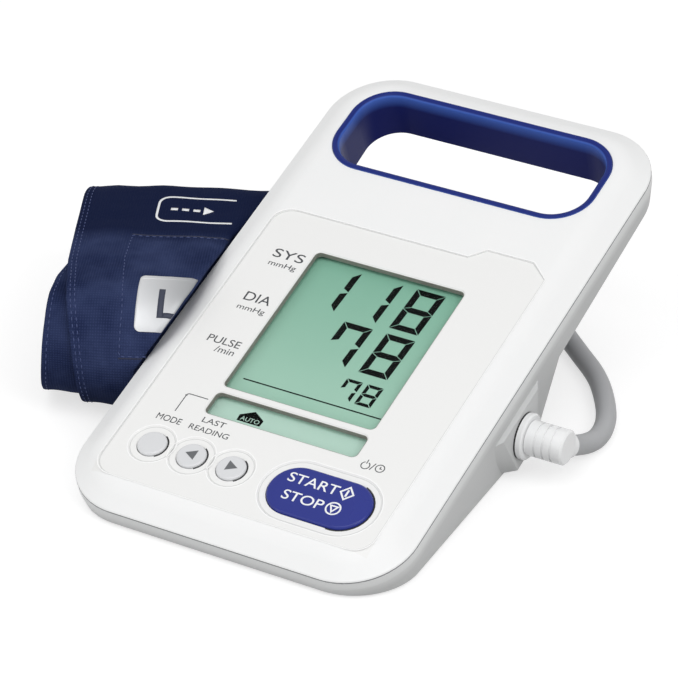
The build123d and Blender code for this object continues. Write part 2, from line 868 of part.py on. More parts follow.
valve_z = port_z - valve_drop
valve_rear = port_y - block_length / 2 - nozzle_length
valve_plane = Plane(
    origin=(unit_x + block_x, valve_rear, valve_z), x_dir=(1, 0, 0), z_dir=(0, -1, 0)
)
with BuildPart() as exhaust_valve:
    with BuildSketch(valve_plane):
        Circle(valve_r)
    extrude(amount=valve_length)
    with BuildSketch(Plane.XY.offset(foot_height + wall)):
        with Locations((unit_x + block_x, valve_rear - valve_length / 2)):
            Rectangle(1.5 * valve_r, valve_length - 2)
    extrude(amount=valve_z - foot_height - wall)
    with BuildSketch(valve_plane):
        Circle(nozzle_r)
    extrude(amount=-nozzle_length)
    with BuildSketch(valve_plane.offset(valve_length)):
        Circle(plunger_rod_r + shaft_fit)
    extrude(amount=-plunger_depth, mode=Mode.SUBTRACT)
save(exhaust_valve.part, "exhaust_valve")

with BuildPart() as valve_plunger:
    with BuildSketch(valve_plane.offset(valve_length - plunger_depth + plunger_travel + layer_gap)):
        Circle(plunger_rod_r)
    extrude(amount=plunger_depth)
    with BuildSketch(valve_plane.offset(valve_length + plunger_travel + layer_gap)):
        Circle(plunger_cap_r)
    extrude(amount=1.2)
save(valve_plunger.part, "valve_plunger")

# Pressure sensor under the board, straight above the block's outlet.
sensor_depth = board_depth + board_thick
sensor_end = sensor_depth + sensor_thick + nozzle_length
sensor_bend = Vector(unit_x + block_x, port_y - outlet_pitch / 2, block_top + nozzle_length + 1.8)
sensor_v = face.to_local_coords(sensor_bend).Y
with BuildPart() as pressure_sensor:
    with BuildSketch(layer(sensor_depth)):
        with Locations((block_x, sensor_v)):
            RectangleRounded(sensor_size, sensor_size, 0.6)
    extrude(amount=-sensor_thick)
    with BuildSketch(layer(sensor_depth + sensor_thick)):
        with Locations((block_x, sensor_v)):
            Circle(nozzle_r)
    extrude(amount=-nozzle_length)
save(pressure_sensor.part, "pressure_sensor")

with BuildPart() as buzzer:
    with BuildSketch(layer(sensor_depth)):
        with Locations((buzzer_x, buzzer_v)):
            Circle(buzzer_r)
    extrude(amount=-buzzer_height)
save(buzzer.part, "buzzer")


def pipe(points, share, outer, bore):
    """Round tube along straight runs joined by arcs as large as the runs allow."""
    radii = []
    for a, b, c in zip(points, points[1:], points[2:]):
        first = Vector(*b) - Vector(*a)
        second = Vector(*c) - Vector(*b)
        turn = radians(first.get_angle(second))
        radii.append(share * min(first.length, second.length) / tan(turn / 2))
    with BuildPart() as tube:
        with BuildLine() as route:
            FilletPolyline(*points, radius=radii)
        line = route.wires()[0]
        with BuildSketch(Plane(origin=line @ 0, z_dir=line % 0)):
            Circle(outer / 2)
            if bore:
                Circle(bore / 2, mode=Mode.SUBTRACT)
        sweep(path=line)
    return tube.part, line.length, radii


# Tube from the pump over the battery bay to the air block.
pump_tube_y = pump_front + motor_length + head_length / 2
tube_top = pump_tube_z + 7.0
inlet_y = port_y + outlet_pitch / 2
pump_tube_points = [
    (unit_x + pump_x + head_size / 2 + nozzle_length, pump_tube_y, pump_tube_z),
    (unit_x + pump_x + tube_rise, pump_tube_y, pump_tube_z),
    (unit_x + block_x - tube_fall, inlet_y, tube_top - 0.6),
    (unit_x + block_x, inlet_y, tube_top),
    (unit_x + block_x, inlet_y, block_top + nozzle_length),
]
pump_tube, pump_tube_length, pump_tube_radii = pipe(pump_tube_points, 0.45, tube_d, tube_bore)
save(pump_tube, "pump_tube")
sensor_low = spot(block_x, sensor_v, sensor_end)
sensor_tube_points = [
    (unit_x + block_x, port_y - outlet_pitch / 2, block_top + nozzle_length),
    (sensor_bend.X, sensor_bend.Y, sensor_bend.Z),
    (sensor_low.X, sensor_low.Y, sensor_low.Z),
]
sensor_tube, sensor_tube_length, sensor_tube_radii = pipe(
    sensor_tube_points, 0.45, tube_d, tube_bore
)
save(sensor_tube, "sensor_tube")

# ---------------------------------------------------------------- fasteners and feet
with BuildPart() as housing_screws:
    with BuildSketch(layer(screw_seat)):
        with Locations(*pillar_spots):
            Circle(screw_r - 0.02)
    extrude(amount=screw_seat - screw_tip - 0.1)
    with BuildSketch(layer(screw_seat)):
        with Locations(*pillar_spots):
            Circle(screw_head_r)
    extrude(amount=-screw_head_thick)
    with BuildSketch(layer(screw_seat + screw_head_thick)):
        with Locations(*pillar_spots):
            Rectangle(recess_length, recess_width)
            Rectangle(recess_width, recess_length)
    extrude(amount=recess_depth, mode=Mode.SUBTRACT)
save(housing_screws.part, "housing_screws")

with BuildPart() as board_screws:
    with BuildSketch(layer(board_depth + board_thick)):
        with Locations(*board_spots):
            Circle(board_screw_r - 0.02)
    extrude(amount=board_depth + board_thick - screw_tip - 0.2)
    with BuildSketch(layer(board_depth + board_thick)):
        with Locations(*board_spots):
            Circle(board_head_r)
    extrude(amount=-board_head_thick)
save(board_screws.part, "board_screws")

with BuildPart() as rubber_feet:
    with BuildSketch(Plane.XY):
        with Locations(*foot_spots):
            Circle(foot_r)
    extrude(amount=foot_height + foot_sink - 0.05)
save(rubber_feet.part, "rubber_feet")

# ---------------------------------------------------------------- cuff
axis_dir = Vector(cos(radians(cuff_turn)), sin(radians(cuff_turn)), 0)
across = Vector(-axis_dir.Y, axis_dir.X, 0)
cuff_r = cuff_thick / 2
cuff_mid = Vector(cuff_front_x, cuff_front_y, cuff_r) + across * (cuff_depth / 2 - cuff_r)
cuff_plane = Plane(origin=cuff_mid, x_dir=across, z_dir=axis_dir)
core_gap = 0.3
bladder_z = cuff_r - cuff_cloth - bladder_thick

# Room that the unit takes: the roll ends at its side, and leans over its rim.
room_plane = Plane(origin=spot(0, -length, 0), x_dir=(1, 0, 0), z_dir=face.y_dir)
lean = radians(lean_angle)
rim_x = -half - lean_gap * cos(lean)
rim_depth = crown_fall - lean_gap * sin(lean)
side_x = -half - cuff_side_gap
side_depth = rim_depth + (rim_x - side_x) / tan(lean)
lean_x = rim_x + (cuff_thick + rim_depth) * tan(lean)
with BuildPart() as unit_room:
    with BuildSketch(room_plane):
        with BuildLine():
            Polyline(
                (side_x, 3 * cuff_thick),
                (side_x, side_depth),
                (lean_x, -cuff_thick),
                (half, -cuff_thick),
                (half, 3 * cuff_thick),
                close=True,
            )
        make_face()
    extrude(amount=3 * length)

with BuildPart() as cuff_wrap:
    with BuildSketch(cuff_plane.offset(-cuff_left)):
        SlotOverall(cuff_depth, cuff_thick)
    extrude(amount=cuff_reach)
    with BuildSketch(cuff_plane.offset(-cuff_inner_left)):
        SlotOverall(cuff_depth - 2 * cuff_step, cuff_thick - 2 * cuff_step)
    extrude(amount=cuff_inner_left)
    add(unit_room.part, mode=Mode.SUBTRACT)
    with BuildSketch(cuff_plane.offset(bladder_start)):
        with Locations((0, bladder_z), (0, -bladder_z)):
            Rectangle(bladder_width + 2 * core_gap, bladder_thick + 2 * core_gap)
    extrude(amount=bladder_length, mode=Mode.SUBTRACT)
save(cuff_wrap.part, "cuff_wrap")

with BuildPart() as cuff_bladder:
    with BuildSketch(cuff_plane.offset(bladder_start + core_gap)):
        with Locations((0, bladder_z)):
            Rectangle(bladder_width, bladder_thick)
    extrude(amount=bladder_length - 2 * core_gap)
save(cuff_bladder.part, "cuff_bladder")

with BuildPart() as hook_patch:
    with BuildSketch(cuff_plane.offset(bladder_start + core_gap)):
        with Locations((0, -bladder_z)):
            Rectangle(bladder_width, bladder_thick)
    extrude(amount=bladder_length - 2 * core_gap)
save(hook_patch.part, "hook_patch")

# Woven label over the front shoulder of the roll.
shoulder = cuff_depth / 2 - cuff_r
label_r = cuff_r + 0.05
with BuildPart() as cuff_label:
    with BuildSketch(cuff_plane.offset(label_start)):
        with BuildLine():
            lower = CenterArc((-shoulder, 0), label_r, 90, label_wrap)
            upper = CenterArc((-shoulder, 0), label_r + label_thick, 90, label_wrap)
            Line(lower @ 1, upper @ 1)
            Polyline(
                lower @ 0,
                (label_flat - shoulder, label_r),
                (label_flat - shoulder, label_r + label_thick),
                upper @ 0,
            )
        make_face()
    extrude(amount=cuff_reach)
    add(unit_room.part, mode=Mode.SUBTRACT)
save(cuff_label.part, "cuff_label")

droop = radians(connector_droop)
out_dir = across * cos(droop) - Vector(0, 0, sin(droop))
fold = cuff_mid + axis_dir * connector_along + across * shoulder + out_dir * cuff_r
connector_plane = Plane(origin=fold, x_dir=axis_dir, z_dir=out_dir)
with BuildPart() as cuff_connector:
    with BuildSketch(connector_plane):
        Circle(connector_r)
    extrude(amount=connector_length, taper=6)
save(cuff_connector.part, "cuff_connector")

# ---------------------------------------------------------------- hose and coil
hose_z = hose_d / 2 + 0.1
upper_z = hose_z + hose_d
coil_half = coil_rows * hose_d / 2
coil_height = coil_layers * hose_d + 0.2
outer_turn = coil_mid_r + hose_d / 2
lead = 25.0              # straight lead where the hose comes off the coil


def on_turn(angle, ahead, z):
    """Point reached by leaving the outer turn at that angle and going straight ahead."""
    c = cos(radians(angle))
    s = sin(radians(angle))
    return Vector(
        coil_x + outer_turn * c - ahead * s,
        coil_y + outer_turn * s + ahead * c,
        z,
    )


coil_in = on_turn(in_angle, -lead, hose_z)
coil_out = on_turn(out_angle, lead, upper_z)
spigot_end = plug_axis_point + spigot_dir * spigot_reach
spigot_run = spigot_end + spigot_dir * 10.0
arrive = on_turn(in_angle, -lead - 15.0, hose_z)
hose_points = [
    (spigot_end.X, spigot_end.Y, spigot_end.Z),
    (spigot_run.X, spigot_run.Y, spigot_run.Z),
    (spigot_end.X + 2.7, 22.0, hose_z),
    (spigot_end.X - 1.2, 35.5, hose_z),
    (spigot_end.X - 11.2, 48.0, hose_z),
    (spigot_end.X - 23.7, 60.5, hose_z),
    (arrive.X, arrive.Y, arrive.Z),
    (coil_in.X, coil_in.Y, coil_in.Z),
]
air_hose, air_hose_length, air_hose_radii = pipe(hose_points, 0.45, hose_d, 0)
save(air_hose, "air_hose")

mouth = fold + out_dir * connector_length
leave = on_turn(out_angle, lead + 9.0, upper_z)
landing = mouth + out_dir * hose_landing
cuff_hose_points = [
    (coil_out.X, coil_out.Y, coil_out.Z),
    (leave.X, leave.Y, leave.Z),
    (-33.0, 109.0, 6.0),
    (-55.0, 110.8, 4.0),
    (-65.8, 105.8, 3.9),
    (-72.5, 96.1, 3.9),
    (landing.X, landing.Y, landing.Z),
    (mouth.X, mouth.Y, mouth.Z),
]
cuff_hose, cuff_hose_length, cuff_hose_radii = pipe(cuff_hose_points, 0.45, hose_d, 0)
save(cuff_hose, "cuff_hose")

with BuildPart() as hose_coil:
    with BuildSketch(Plane.XY):
        with Locations((coil_x, coil_y)):
            Circle(coil_mid_r + coil_half)
            Circle(coil_mid_r - coil_half, mode=Mode.SUBTRACT)
    extrude(amount=coil_height)
    with BuildSketch(Plane(origin=coil_in, z_dir=on_turn(in_angle, 0, hose_z) - coil_in)):
        Circle(hose_d / 2)
    extrude(amount=lead)
    with BuildSketch(Plane(origin=coil_out, z_dir=on_turn(out_angle, 0, upper_z) - coil_out)):
        Circle(hose_d / 2)
    extrude(amount=lead)
    with BuildSketch(Plane.YZ.offset(coil_x - tie_width / 2)):
        with Locations((coil_y - coil_mid_r, coil_height / 2)):
            Rectangle(4 * coil_half, coil_height + 2)
            Rectangle(
                2 * (coil_half - tie_thick - 0.1),
                coil_height - 2 * (tie_thick + 0.1),
                mode=Mode.SUBTRACT,
            )
    extrude(amount=tie_width, mode=Mode.SUBTRACT)
save(hose_coil.part, "hose_coil")

with BuildPart() as hose_tie:
    with BuildSketch(Plane.YZ.offset(coil_x - tie_width / 2 + 0.3)):
        with Locations((coil_y - coil_mid_r, coil_height / 2)):
            Rectangle(2 * coil_half, coil_height)
            Rectangle(2 * coil_half - 2 * tie_thick, coil_height - 2 * tie_thick, mode=Mode.SUBTRACT)
    extrude(amount=tie_width - 0.6)
save(hose_tie.part, "hose_tie")

for name, tube_length, radii in [
    ("air hose", air_hose_length, air_hose_radii),
    ("cuff hose", cuff_hose_length, cuff_hose_radii),
    ("pump tube", pump_tube_length, pump_tube_radii),
    ("sensor tube", sensor_tube_length, sensor_tube_radii),
]:
    print(name, "length", round(tube_length, 1), "radii", [round(r, 1) for r in radii])
turns = coil_rows * coil_layers
print("coil length", round(2 * pi * coil_mid_r * turns, 1), "for", turns, "turns")
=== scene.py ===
import math

import bmesh
import bpy
from mathutils import Matrix, Vector, noise


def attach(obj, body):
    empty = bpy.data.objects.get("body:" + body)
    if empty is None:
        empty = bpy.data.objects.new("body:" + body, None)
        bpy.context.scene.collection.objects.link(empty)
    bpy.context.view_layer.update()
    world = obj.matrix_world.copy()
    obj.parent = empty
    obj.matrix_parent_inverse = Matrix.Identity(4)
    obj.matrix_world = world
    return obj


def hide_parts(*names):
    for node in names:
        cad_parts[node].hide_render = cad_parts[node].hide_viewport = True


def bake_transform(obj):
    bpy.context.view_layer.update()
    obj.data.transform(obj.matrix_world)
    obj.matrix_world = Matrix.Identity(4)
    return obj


# Upper-arm blood pressure monitor with a carrying handle, its air hose and its rolled cuff.
# Metres, Z up. Sizes written in millimetres are turned to metres by MM.

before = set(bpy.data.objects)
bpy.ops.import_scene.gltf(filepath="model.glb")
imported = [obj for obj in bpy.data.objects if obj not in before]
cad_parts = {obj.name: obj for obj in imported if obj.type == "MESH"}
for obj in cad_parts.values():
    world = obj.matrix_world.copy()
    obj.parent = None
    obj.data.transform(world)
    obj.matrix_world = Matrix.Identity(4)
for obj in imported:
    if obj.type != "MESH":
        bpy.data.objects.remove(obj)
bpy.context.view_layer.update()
MM = 0.001

# ---------------------------------- sizes of the unit's face
# In millimetres, across the face from its middle, up it from its near edge, and over it.
TILT = math.radians(18)
FACE_ORIGIN = (36.66, -105.0, 12.0)    # middle of the near edge
FACE_HALF, FACE_LENGTH, FACE_CORNER = 61.5, 213.0, 23.0
FIELD = -0.5             # level of the recessed field
FIELD_HALF, FIELD_LOW, FIELD_HIGH, FIELD_CORNER = 50.7, 10.5, 137.5, 7.0
TAB_HIGH = 142.5         # far edge of the field's tab, on its right
TAB_FOOT, TAB_TOP, TAB_BEND = 21.5, 26.5, 136.5    # its left slope, and where its right starts
WELL = FIELD - 0.4       # floor of the wells round the keys
KEY_TOP = 0.1
ROUND_KEYS, ROUND_KEY_UP = (-37.0, -22.15, -7.3), 26.9
START_KEY, START_KEY_UP = 25.7, 26.0
START_KEY_REACH = 8.4    # from its middle to the centre of a round end
WINDOWS = ((57.6, 122.9), (45.1, 54.9))    # near and far edges of the two display windows
WINDOW_HALF, WINDOW_CORNER = 28.3, 2.02
IMAGE = -4.1             # level of the display's image plane
PRINT = 0.04             # thickness of a layer of ink


# ---------------------------------- small helpers
def linear(code):
    """Linear RGBA of an sRGB hex colour."""
    parts = [int(code[i:i + 2], 16) / 255 for i in (1, 3, 5)]
    return [p / 12.92 if p <= 0.04045 else ((p + 0.055) / 1.055) ** 2.4 for p in parts] + [1.0]


def smooth(t):
    """Soft step from 0 to 1."""
    t = min(1.0, max(0.0, t))
    return t * t * (3 - 2 * t)


def between(table, x):
    """Value at x of a table of (x, value) rows, in straight lines from row to row."""
    for (x0, y0), (x1, y1) in zip(table, table[1:]):
        if x <= x1:
            return y0 + (y1 - y0) * min(1.0, max(0.0, (x - x0) / (x1 - x0)))
    return table[-1][1]


def piece(name, data, material, body="monitor"):
    """Object of a mesh that is already in place, riding on a body."""
    obj = bpy.data.objects.new(name, data)
    bpy.context.scene.collection.objects.link(obj)
    data.materials.clear()
    data.materials.append(material)
    if body:
        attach(obj, body)
    return obj


def from_bmesh(name, bm, rounded=True):
    """Mesh data of a bmesh, with its faces turned outwards."""
    bmesh.ops.recalc_face_normals(bm, faces=bm.faces)
    data = bpy.data.meshes.new(name)
    bm.to_mesh(data)
    bm.free()
    data.polygons.foreach_set("use_smooth", [rounded] * len(data.polygons))
    return data


def add_face(bm, uv, corners):
    """Face through corners that are each a vertex and its place on the UV layer."""
    face = bm.faces.new([vertex for vertex, mark in corners])
    for loop, (vertex, mark) in zip(face.loops, corners):
        loop[uv].uv = mark


# ---------------------------------- finishes
def add_node(tree, kind, sockets=None, **settings):
    """Adds a node with its settings. A socket given an output is linked, any other is set."""
    node = tree.nodes.new(kind)
    for key, value in settings.items():
        setattr(node, key, value)
    for key, value in (sockets or {}).items():
        if isinstance(value, bpy.types.NodeSocket):
            tree.links.new(value, node.inputs[key])
        else:
            node.inputs[key].default_value = value
    return node


def finish(name, **sockets):
    """New material with a Principled shader, and the tree that its patterns go into."""
    material = bpy.data.materials.new(name)
    material.use_nodes = True
    tree = material.node_tree
    tree.nodes.clear()
    shader = add_node(tree, "ShaderNodeBsdfPrincipled")
    for key, value in sockets.items():
        shader.inputs[key.replace("_", " ")].default_value = value
    add_node(tree, "ShaderNodeOutputMaterial", {"Surface": shader.outputs[0]})
    return material, tree, shader


def wire(shader, **outputs):
    """Links outputs to a shader's sockets, named with _ for a space."""
    for key, value in outputs.items():
        shader.id_data.links.new(value, shader.inputs[key.replace("_", " ")])


def blend_colours(tree, factor, first, second):
    """Colour output between two hex colours or colour outputs."""
    mix = add_node(tree, "ShaderNodeMix", data_type="RGBA")
    tree.links.new(factor, mix.inputs[0])
    for socket, colour in ((mix.inputs[6], first), (mix.inputs[7], second)):
        if isinstance(colour, str):
            socket.default_value = linear(colour)
        else:
            tree.links.new(colour, socket)
    return mix.outputs[2]


def grained(name, tones, rough, grain, depth, patch=18.0, **sockets):
    """Moulded or coated surface: two close tones in soft patches over a fine grain.

    Roughness goes with the patches. Grain, its depth and the patches are sized in mm.
    """
    material, tree, shader = finish(name, **sockets)
    place = add_node(tree, "ShaderNodeTexCoord").outputs["Object"]
    patches = add_node(
        tree, "ShaderNodeTexNoise", {"Vector": place, "Scale": 1 / (patch * MM), "Detail": 3.0}
    ).outputs["Fac"]
    fine = add_node(
        tree, "ShaderNodeTexNoise", {"Vector": place, "Scale": 1 / (grain * MM), "Detail": 2.0}
    ).outputs["Fac"]
    worn = add_node(
        tree, "ShaderNodeMapRange", {"Value": patches, "To Min": rough[0], "To Max": rough[1]}
    ).outputs[0]
    bump = add_node(tree, "ShaderNodeBump", {"Height": fine, "Distance": depth * MM}).outputs[0]
    wire(shader, Base_Color=blend_colours(tree, patches, *tones), Roughness=worn, Normal=bump)
    return material


def add_face_place(tree):
    """Adds outputs across the face, up the face and over the face, in metres."""
    place = add_node(tree, "ShaderNodeTexCoord").outputs["Object"]
    local = add_node(
        tree, "ShaderNodeMapping",
        {"Vector": place, "Location": Vector(FACE_ORIGIN) * MM, "Rotation": (TILT, 0, 0)},
        vector_type="TEXTURE",
    ).outputs[0]
    return add_node(tree, "ShaderNodeSeparateXYZ", {0: local}).outputs


def range_mask(tree, value, low, high):
    """Output that rises from 0 at low to 1 at high, both in millimetres."""
    return add_node(
        tree, "ShaderNodeMapRange", {"Value": value, "From Min": low * MM, "From Max": high * MM}
    ).outputs[0]


def retone(material, mask, colour):
    """Blends a hex colour over a material's own colour by a mask."""
    tree = material.node_tree
    shader = next(n for n in tree.nodes if n.type == "BSDF_PRINCIPLED")
    own = shader.inputs["Base Color"].links[0].from_socket
    wire(shader, Base_Color=blend_colours(tree, mask, own, colour))


def cover_finish():
    """White ABS, moulded with a fine grain. The recessed field is a shade warmer and darker."""
    material = grained("white_abs_satin", ("#F0F1F1", "#F3F3F3"), (0.42, 0.52), 0.6, 0.006,
                       IOR=1.5, Specular_IOR_Level=0.35)
    tree = material.node_tree
    across, up, over = add_face_place(tree)
    mask = range_mask(tree, over, FIELD + 0.3, FIELD + 0.1)
    reach = add_node(tree, "ShaderNodeMath", {0: across}, operation="ABSOLUTE").outputs[0]
    for value, low, high in (
        (reach, FIELD_HALF + 0.3, FIELD_HALF), (up, FIELD_LOW - 0.2, FIELD_LOW + 0.1),
        (up, TAB_HIGH + 0.5, TAB_HIGH + 0.1),
    ):
        mask = add_node(tree, "ShaderNodeMath", {0: mask, 1: range_mask(tree, value, low, high)},
                        operation="MULTIPLY").outputs[0]
    retone(material, mask, "#EEEEED")
    return material


white_abs = cover_finish()


def rear_finish():
    """Light grey ABS of the lower cover, same grain, with painted shade that darkens it towards
    its base.
    """
    material = grained("grey_abs_satin", ("#EAEBEB", "#EEEFEF"), (0.46, 0.56), 0.6, 0.008,
                       IOR=1.5, Specular_IOR_Level=0.35)
    over = add_face_place(material.node_tree)[2]
    # Painted shade: the walls are painted darker from 7.5 mm to 13 mm under the face.
    retone(material, range_mask(material.node_tree, over, -7.5, -13.0), "#CFD0D0")
    return material


grey_abs = rear_finish()


def liner_finish():
    """Royal blue ABS, satin: bright below the lip as a painted highlight, painted shade to near
    black deep inside; lip top navy.
    """
    material = grained("blue_abs_satin", ("#4264BE", "#4B6EC6"), (0.34, 0.42), 1.2, 0.003,
                       IOR=1.52, Specular_IOR_Level=0.14)
    over = add_face_place(material.node_tree)[2]
    # Painted shade: darker from 0.9 mm to 5 mm below the face, nearly black deep in the opening.
    retone(material, range_mask(material.node_tree, over, -0.9, -5.0), "#141D62")
    # The lip's top, up from the face, is painted a darker navy.
    retone(material, range_mask(material.node_tree, over, 0.0, 0.4), "#182874")
    return material


blue_abs = liner_finish()
# Blue polycarbonate of the start key, glossy with a slight waviness of the moulding.
blue_key = grained(
    "blue_key_gloss", ("#212C80", "#253188"), (0.22, 0.3), 1.5, 0.004, IOR=1.5,
    Specular_IOR_Level=0.3,
)
# Pale grey ABS keys, satin.
grey_key = grained("grey_key_satin", ("#D6D7D9", "#DCDDDF"), (0.34, 0.42), 0.6, 0.005, IOR=1.5)
# White nylon of the air plug and socket: a bright, glossy moulding.
white_nylon = grained(
    "white_nylon_gloss", ("#F0F1F2", "#F5F5F5"), (0.2, 0.28), 1.0, 0.004, IOR=1.53
)
# Mid grey PVC air hose: matt extrusion with faint streaks.
hose_pvc = grained("grey_pvc_hose", ("#A9AAAC", "#B3B4B6"), (0.48, 0.6), 0.9, 0.012, IOR=1.52)
# Black rubber of gaskets and rings, matt and slightly greyed by dust, also used as the
# painted shadow in the gaps beside the keys.
black_rubber = grained("black_rubber", ("#17181A", "#222325"), (0.6, 0.8), 0.5, 0.015)
# Grey rubber of the feet, matt.
foot_rubber = grained("grey_rubber", ("#55585C", "#63666A"), (0.65, 0.8), 0.5, 0.02)
# Black glass-filled nylon of pump head, valve and connectors: dull, with a coarse grain.
black_nylon = grained("black_glass_nylon", ("#1B1D20", "#25272A"), (0.45, 0.6), 0.4, 0.012)
# Zinc-plated steel of screws and pump can: a bright metal with soft reflections.
plated_steel = grained(
    "zinc_plated_steel", ("#B9BBBD", "#A3A6A9"), (0.25, 0.42), 0.8, 0.004, Metallic=1.0
)
# Green solder mask over glass-epoxy board, half glossy.
board_green = grained("solder_mask_board", ("#12563A", "#176644"), (0.3, 0.45), 1.0, 0.01)
# Printed film sleeve round the battery cells, smooth and shiny.
cell_film = grained("cell_sleeve_film", ("#3C62A8", "#456CB2"), (0.25, 0.35), 1.2, 0.004)
# Milky acrylic guide behind the display: nearly white, with a faint gloss.
guide_acrylic = grained("milky_acrylic", ("#EEF3EF", "#F6F8F6"), (0.4, 0.5), 1.0, 0.003)
# Soft clear PVC of the inner tubes: glossy, and half seen through.
clear_pvc = grained("clear_pvc_tube", ("#D9DEDF", "#E6EAEA"), (0.2, 0.3), 1.0, 0.004, Alpha=0.6)
# Grey-black screen ink on the cover, slightly uneven.
cover_ink = grained("dark_grey_ink", ("#323539", "#3E4145"), (0.5, 0.62), 0.25, 0.003)
# Mid grey ink of the arrows on the keys, matt.
arrow_ink = grained("mid_grey_ink", ("#5C5E61", "#66686B"), (0.5, 0.6), 0.25, 0.003)
# White ink on the start key and on the cuff, a little patchy.
white_ink = grained("white_ink", ("#F4F5F6", "#E9EBEE"), (0.5, 0.62), 0.3, 0.006)
# Navy ink on the cuff's label, matt.
label_ink = grained("navy_ink", ("#23283A", "#2C3246"), (0.5, 0.6), 0.3, 0.004)
# Grey plastic in the joint between the covers, dull as if in shadow.
joint_grey = grained("joint_shadow_grey", ("#606265", "#6A6C6F"), (0.6, 0.7), 0.4, 0.004)
# Painted highlight along the crest of a moulded edge, and painted shade at its foot.
crest_highlight = grained("crest_painted_highlight", ("#FAFAFA", "#FDFDFD"), (0.3, 0.4), 0.5, 0.002)
foot_shade = grained("foot_painted_shade", ("#D3D4D3", "#D8D9D8"), (0.6, 0.7), 0.5, 0.002)
# Painted shade on the walls of the display windows, a matt taupe.
window_wall_shade = grained("window_wall_painted_shade", ("#7F7D76", "#8B8982"), (0.6, 0.7), 0.5, 0.004)
# Painted shade in the fold of a seam, a darker navy.
crease_shade = grained("seam_crease_painted_shade", ("#151B33", "#1A213C"), (0.7, 0.8), 0.4, 0.02)
# Slate blue polyester sewing thread, a little paler than the cloth and rough with its twist.
thread = grained("polyester_thread", ("#343F69", "#434F7C"), (0.6, 0.75), 0.3, 0.02)


def lcd_finish():
    """Reflective display film: pale green, palest at its near edge and darker up the face."""
    material, tree, shader = finish("lcd_film_green", Roughness=0.4, IOR=1.5,
                                    Specular_IOR_Level=0.15)
    place = add_node(tree, "ShaderNodeTexCoord").outputs["Object"]
    cloud = add_node(
        tree, "ShaderNodeTexNoise", {"Vector": place, "Scale": 40.0, "Detail": 2.0}
    ).outputs["Fac"]
    cells = add_node(
        tree, "ShaderNodeTexVoronoi", {"Vector": place, "Scale": 1 / (0.5 * MM)}
    ).outputs["Distance"]
    bump = add_node(tree, "ShaderNodeBump", {"Height": cells, "Distance": 0.002 * MM}).outputs[0]
    wire(shader, Base_Color=blend_colours(tree, cloud, "#9FCAB6", "#A8D0BD"), Normal=bump)
    up = add_face_place(tree)[1]
    retone(material, range_mask(tree, up, 66, 122), "#84B8A1")
    retone(material, range_mask(tree, up, 57, 56), "#BDDECF")
    return material


lcd_green = lcd_finish()
# Liquid crystal where it is switched on: near black, with a trace of the film's green.
lcd_black = grained("lcd_dark_segment", ("#060908", "#0B0F0E"), (0.45, 0.55), 0.4, 0.002,
                    Specular_IOR_Level=0.04)


def pane_finish():
    """Clear acrylic pane: hardly seen, with a faint gloss."""
    material, tree, shader = finish("clear_acrylic", IOR=1.49, Alpha=0.02)
    place = add_node(tree, "ShaderNodeTexCoord").outputs["Object"]
    wipe = add_node(
        tree, "ShaderNodeTexNoise", {"Vector": place, "Scale": 60.0, "Detail": 4.0}
    ).outputs["Fac"]
    haze = add_node(
        tree, "ShaderNodeMapRange", {"Value": wipe, "To Min": 0.03, "To Max": 0.1}
    ).outputs[0]
    wire(shader, Base_Color=blend_colours(tree, wipe, "#2E3332", "#3A403E"), Roughness=haze)
    return material


clear_acrylic = pane_finish()


# Places in mm round the cuff where painted shade starts and ends: into and out of the
# shade over the top above the pocket, and back to where the cloth turns under the roll.
TOP_SHADE_START, TOP_SHADE_END, UNDER_SHADE = (137, 146), (196, 205), (74, 54)
WAVE_TURNS = 20          # a wave texture runs through this many radians at scale 1


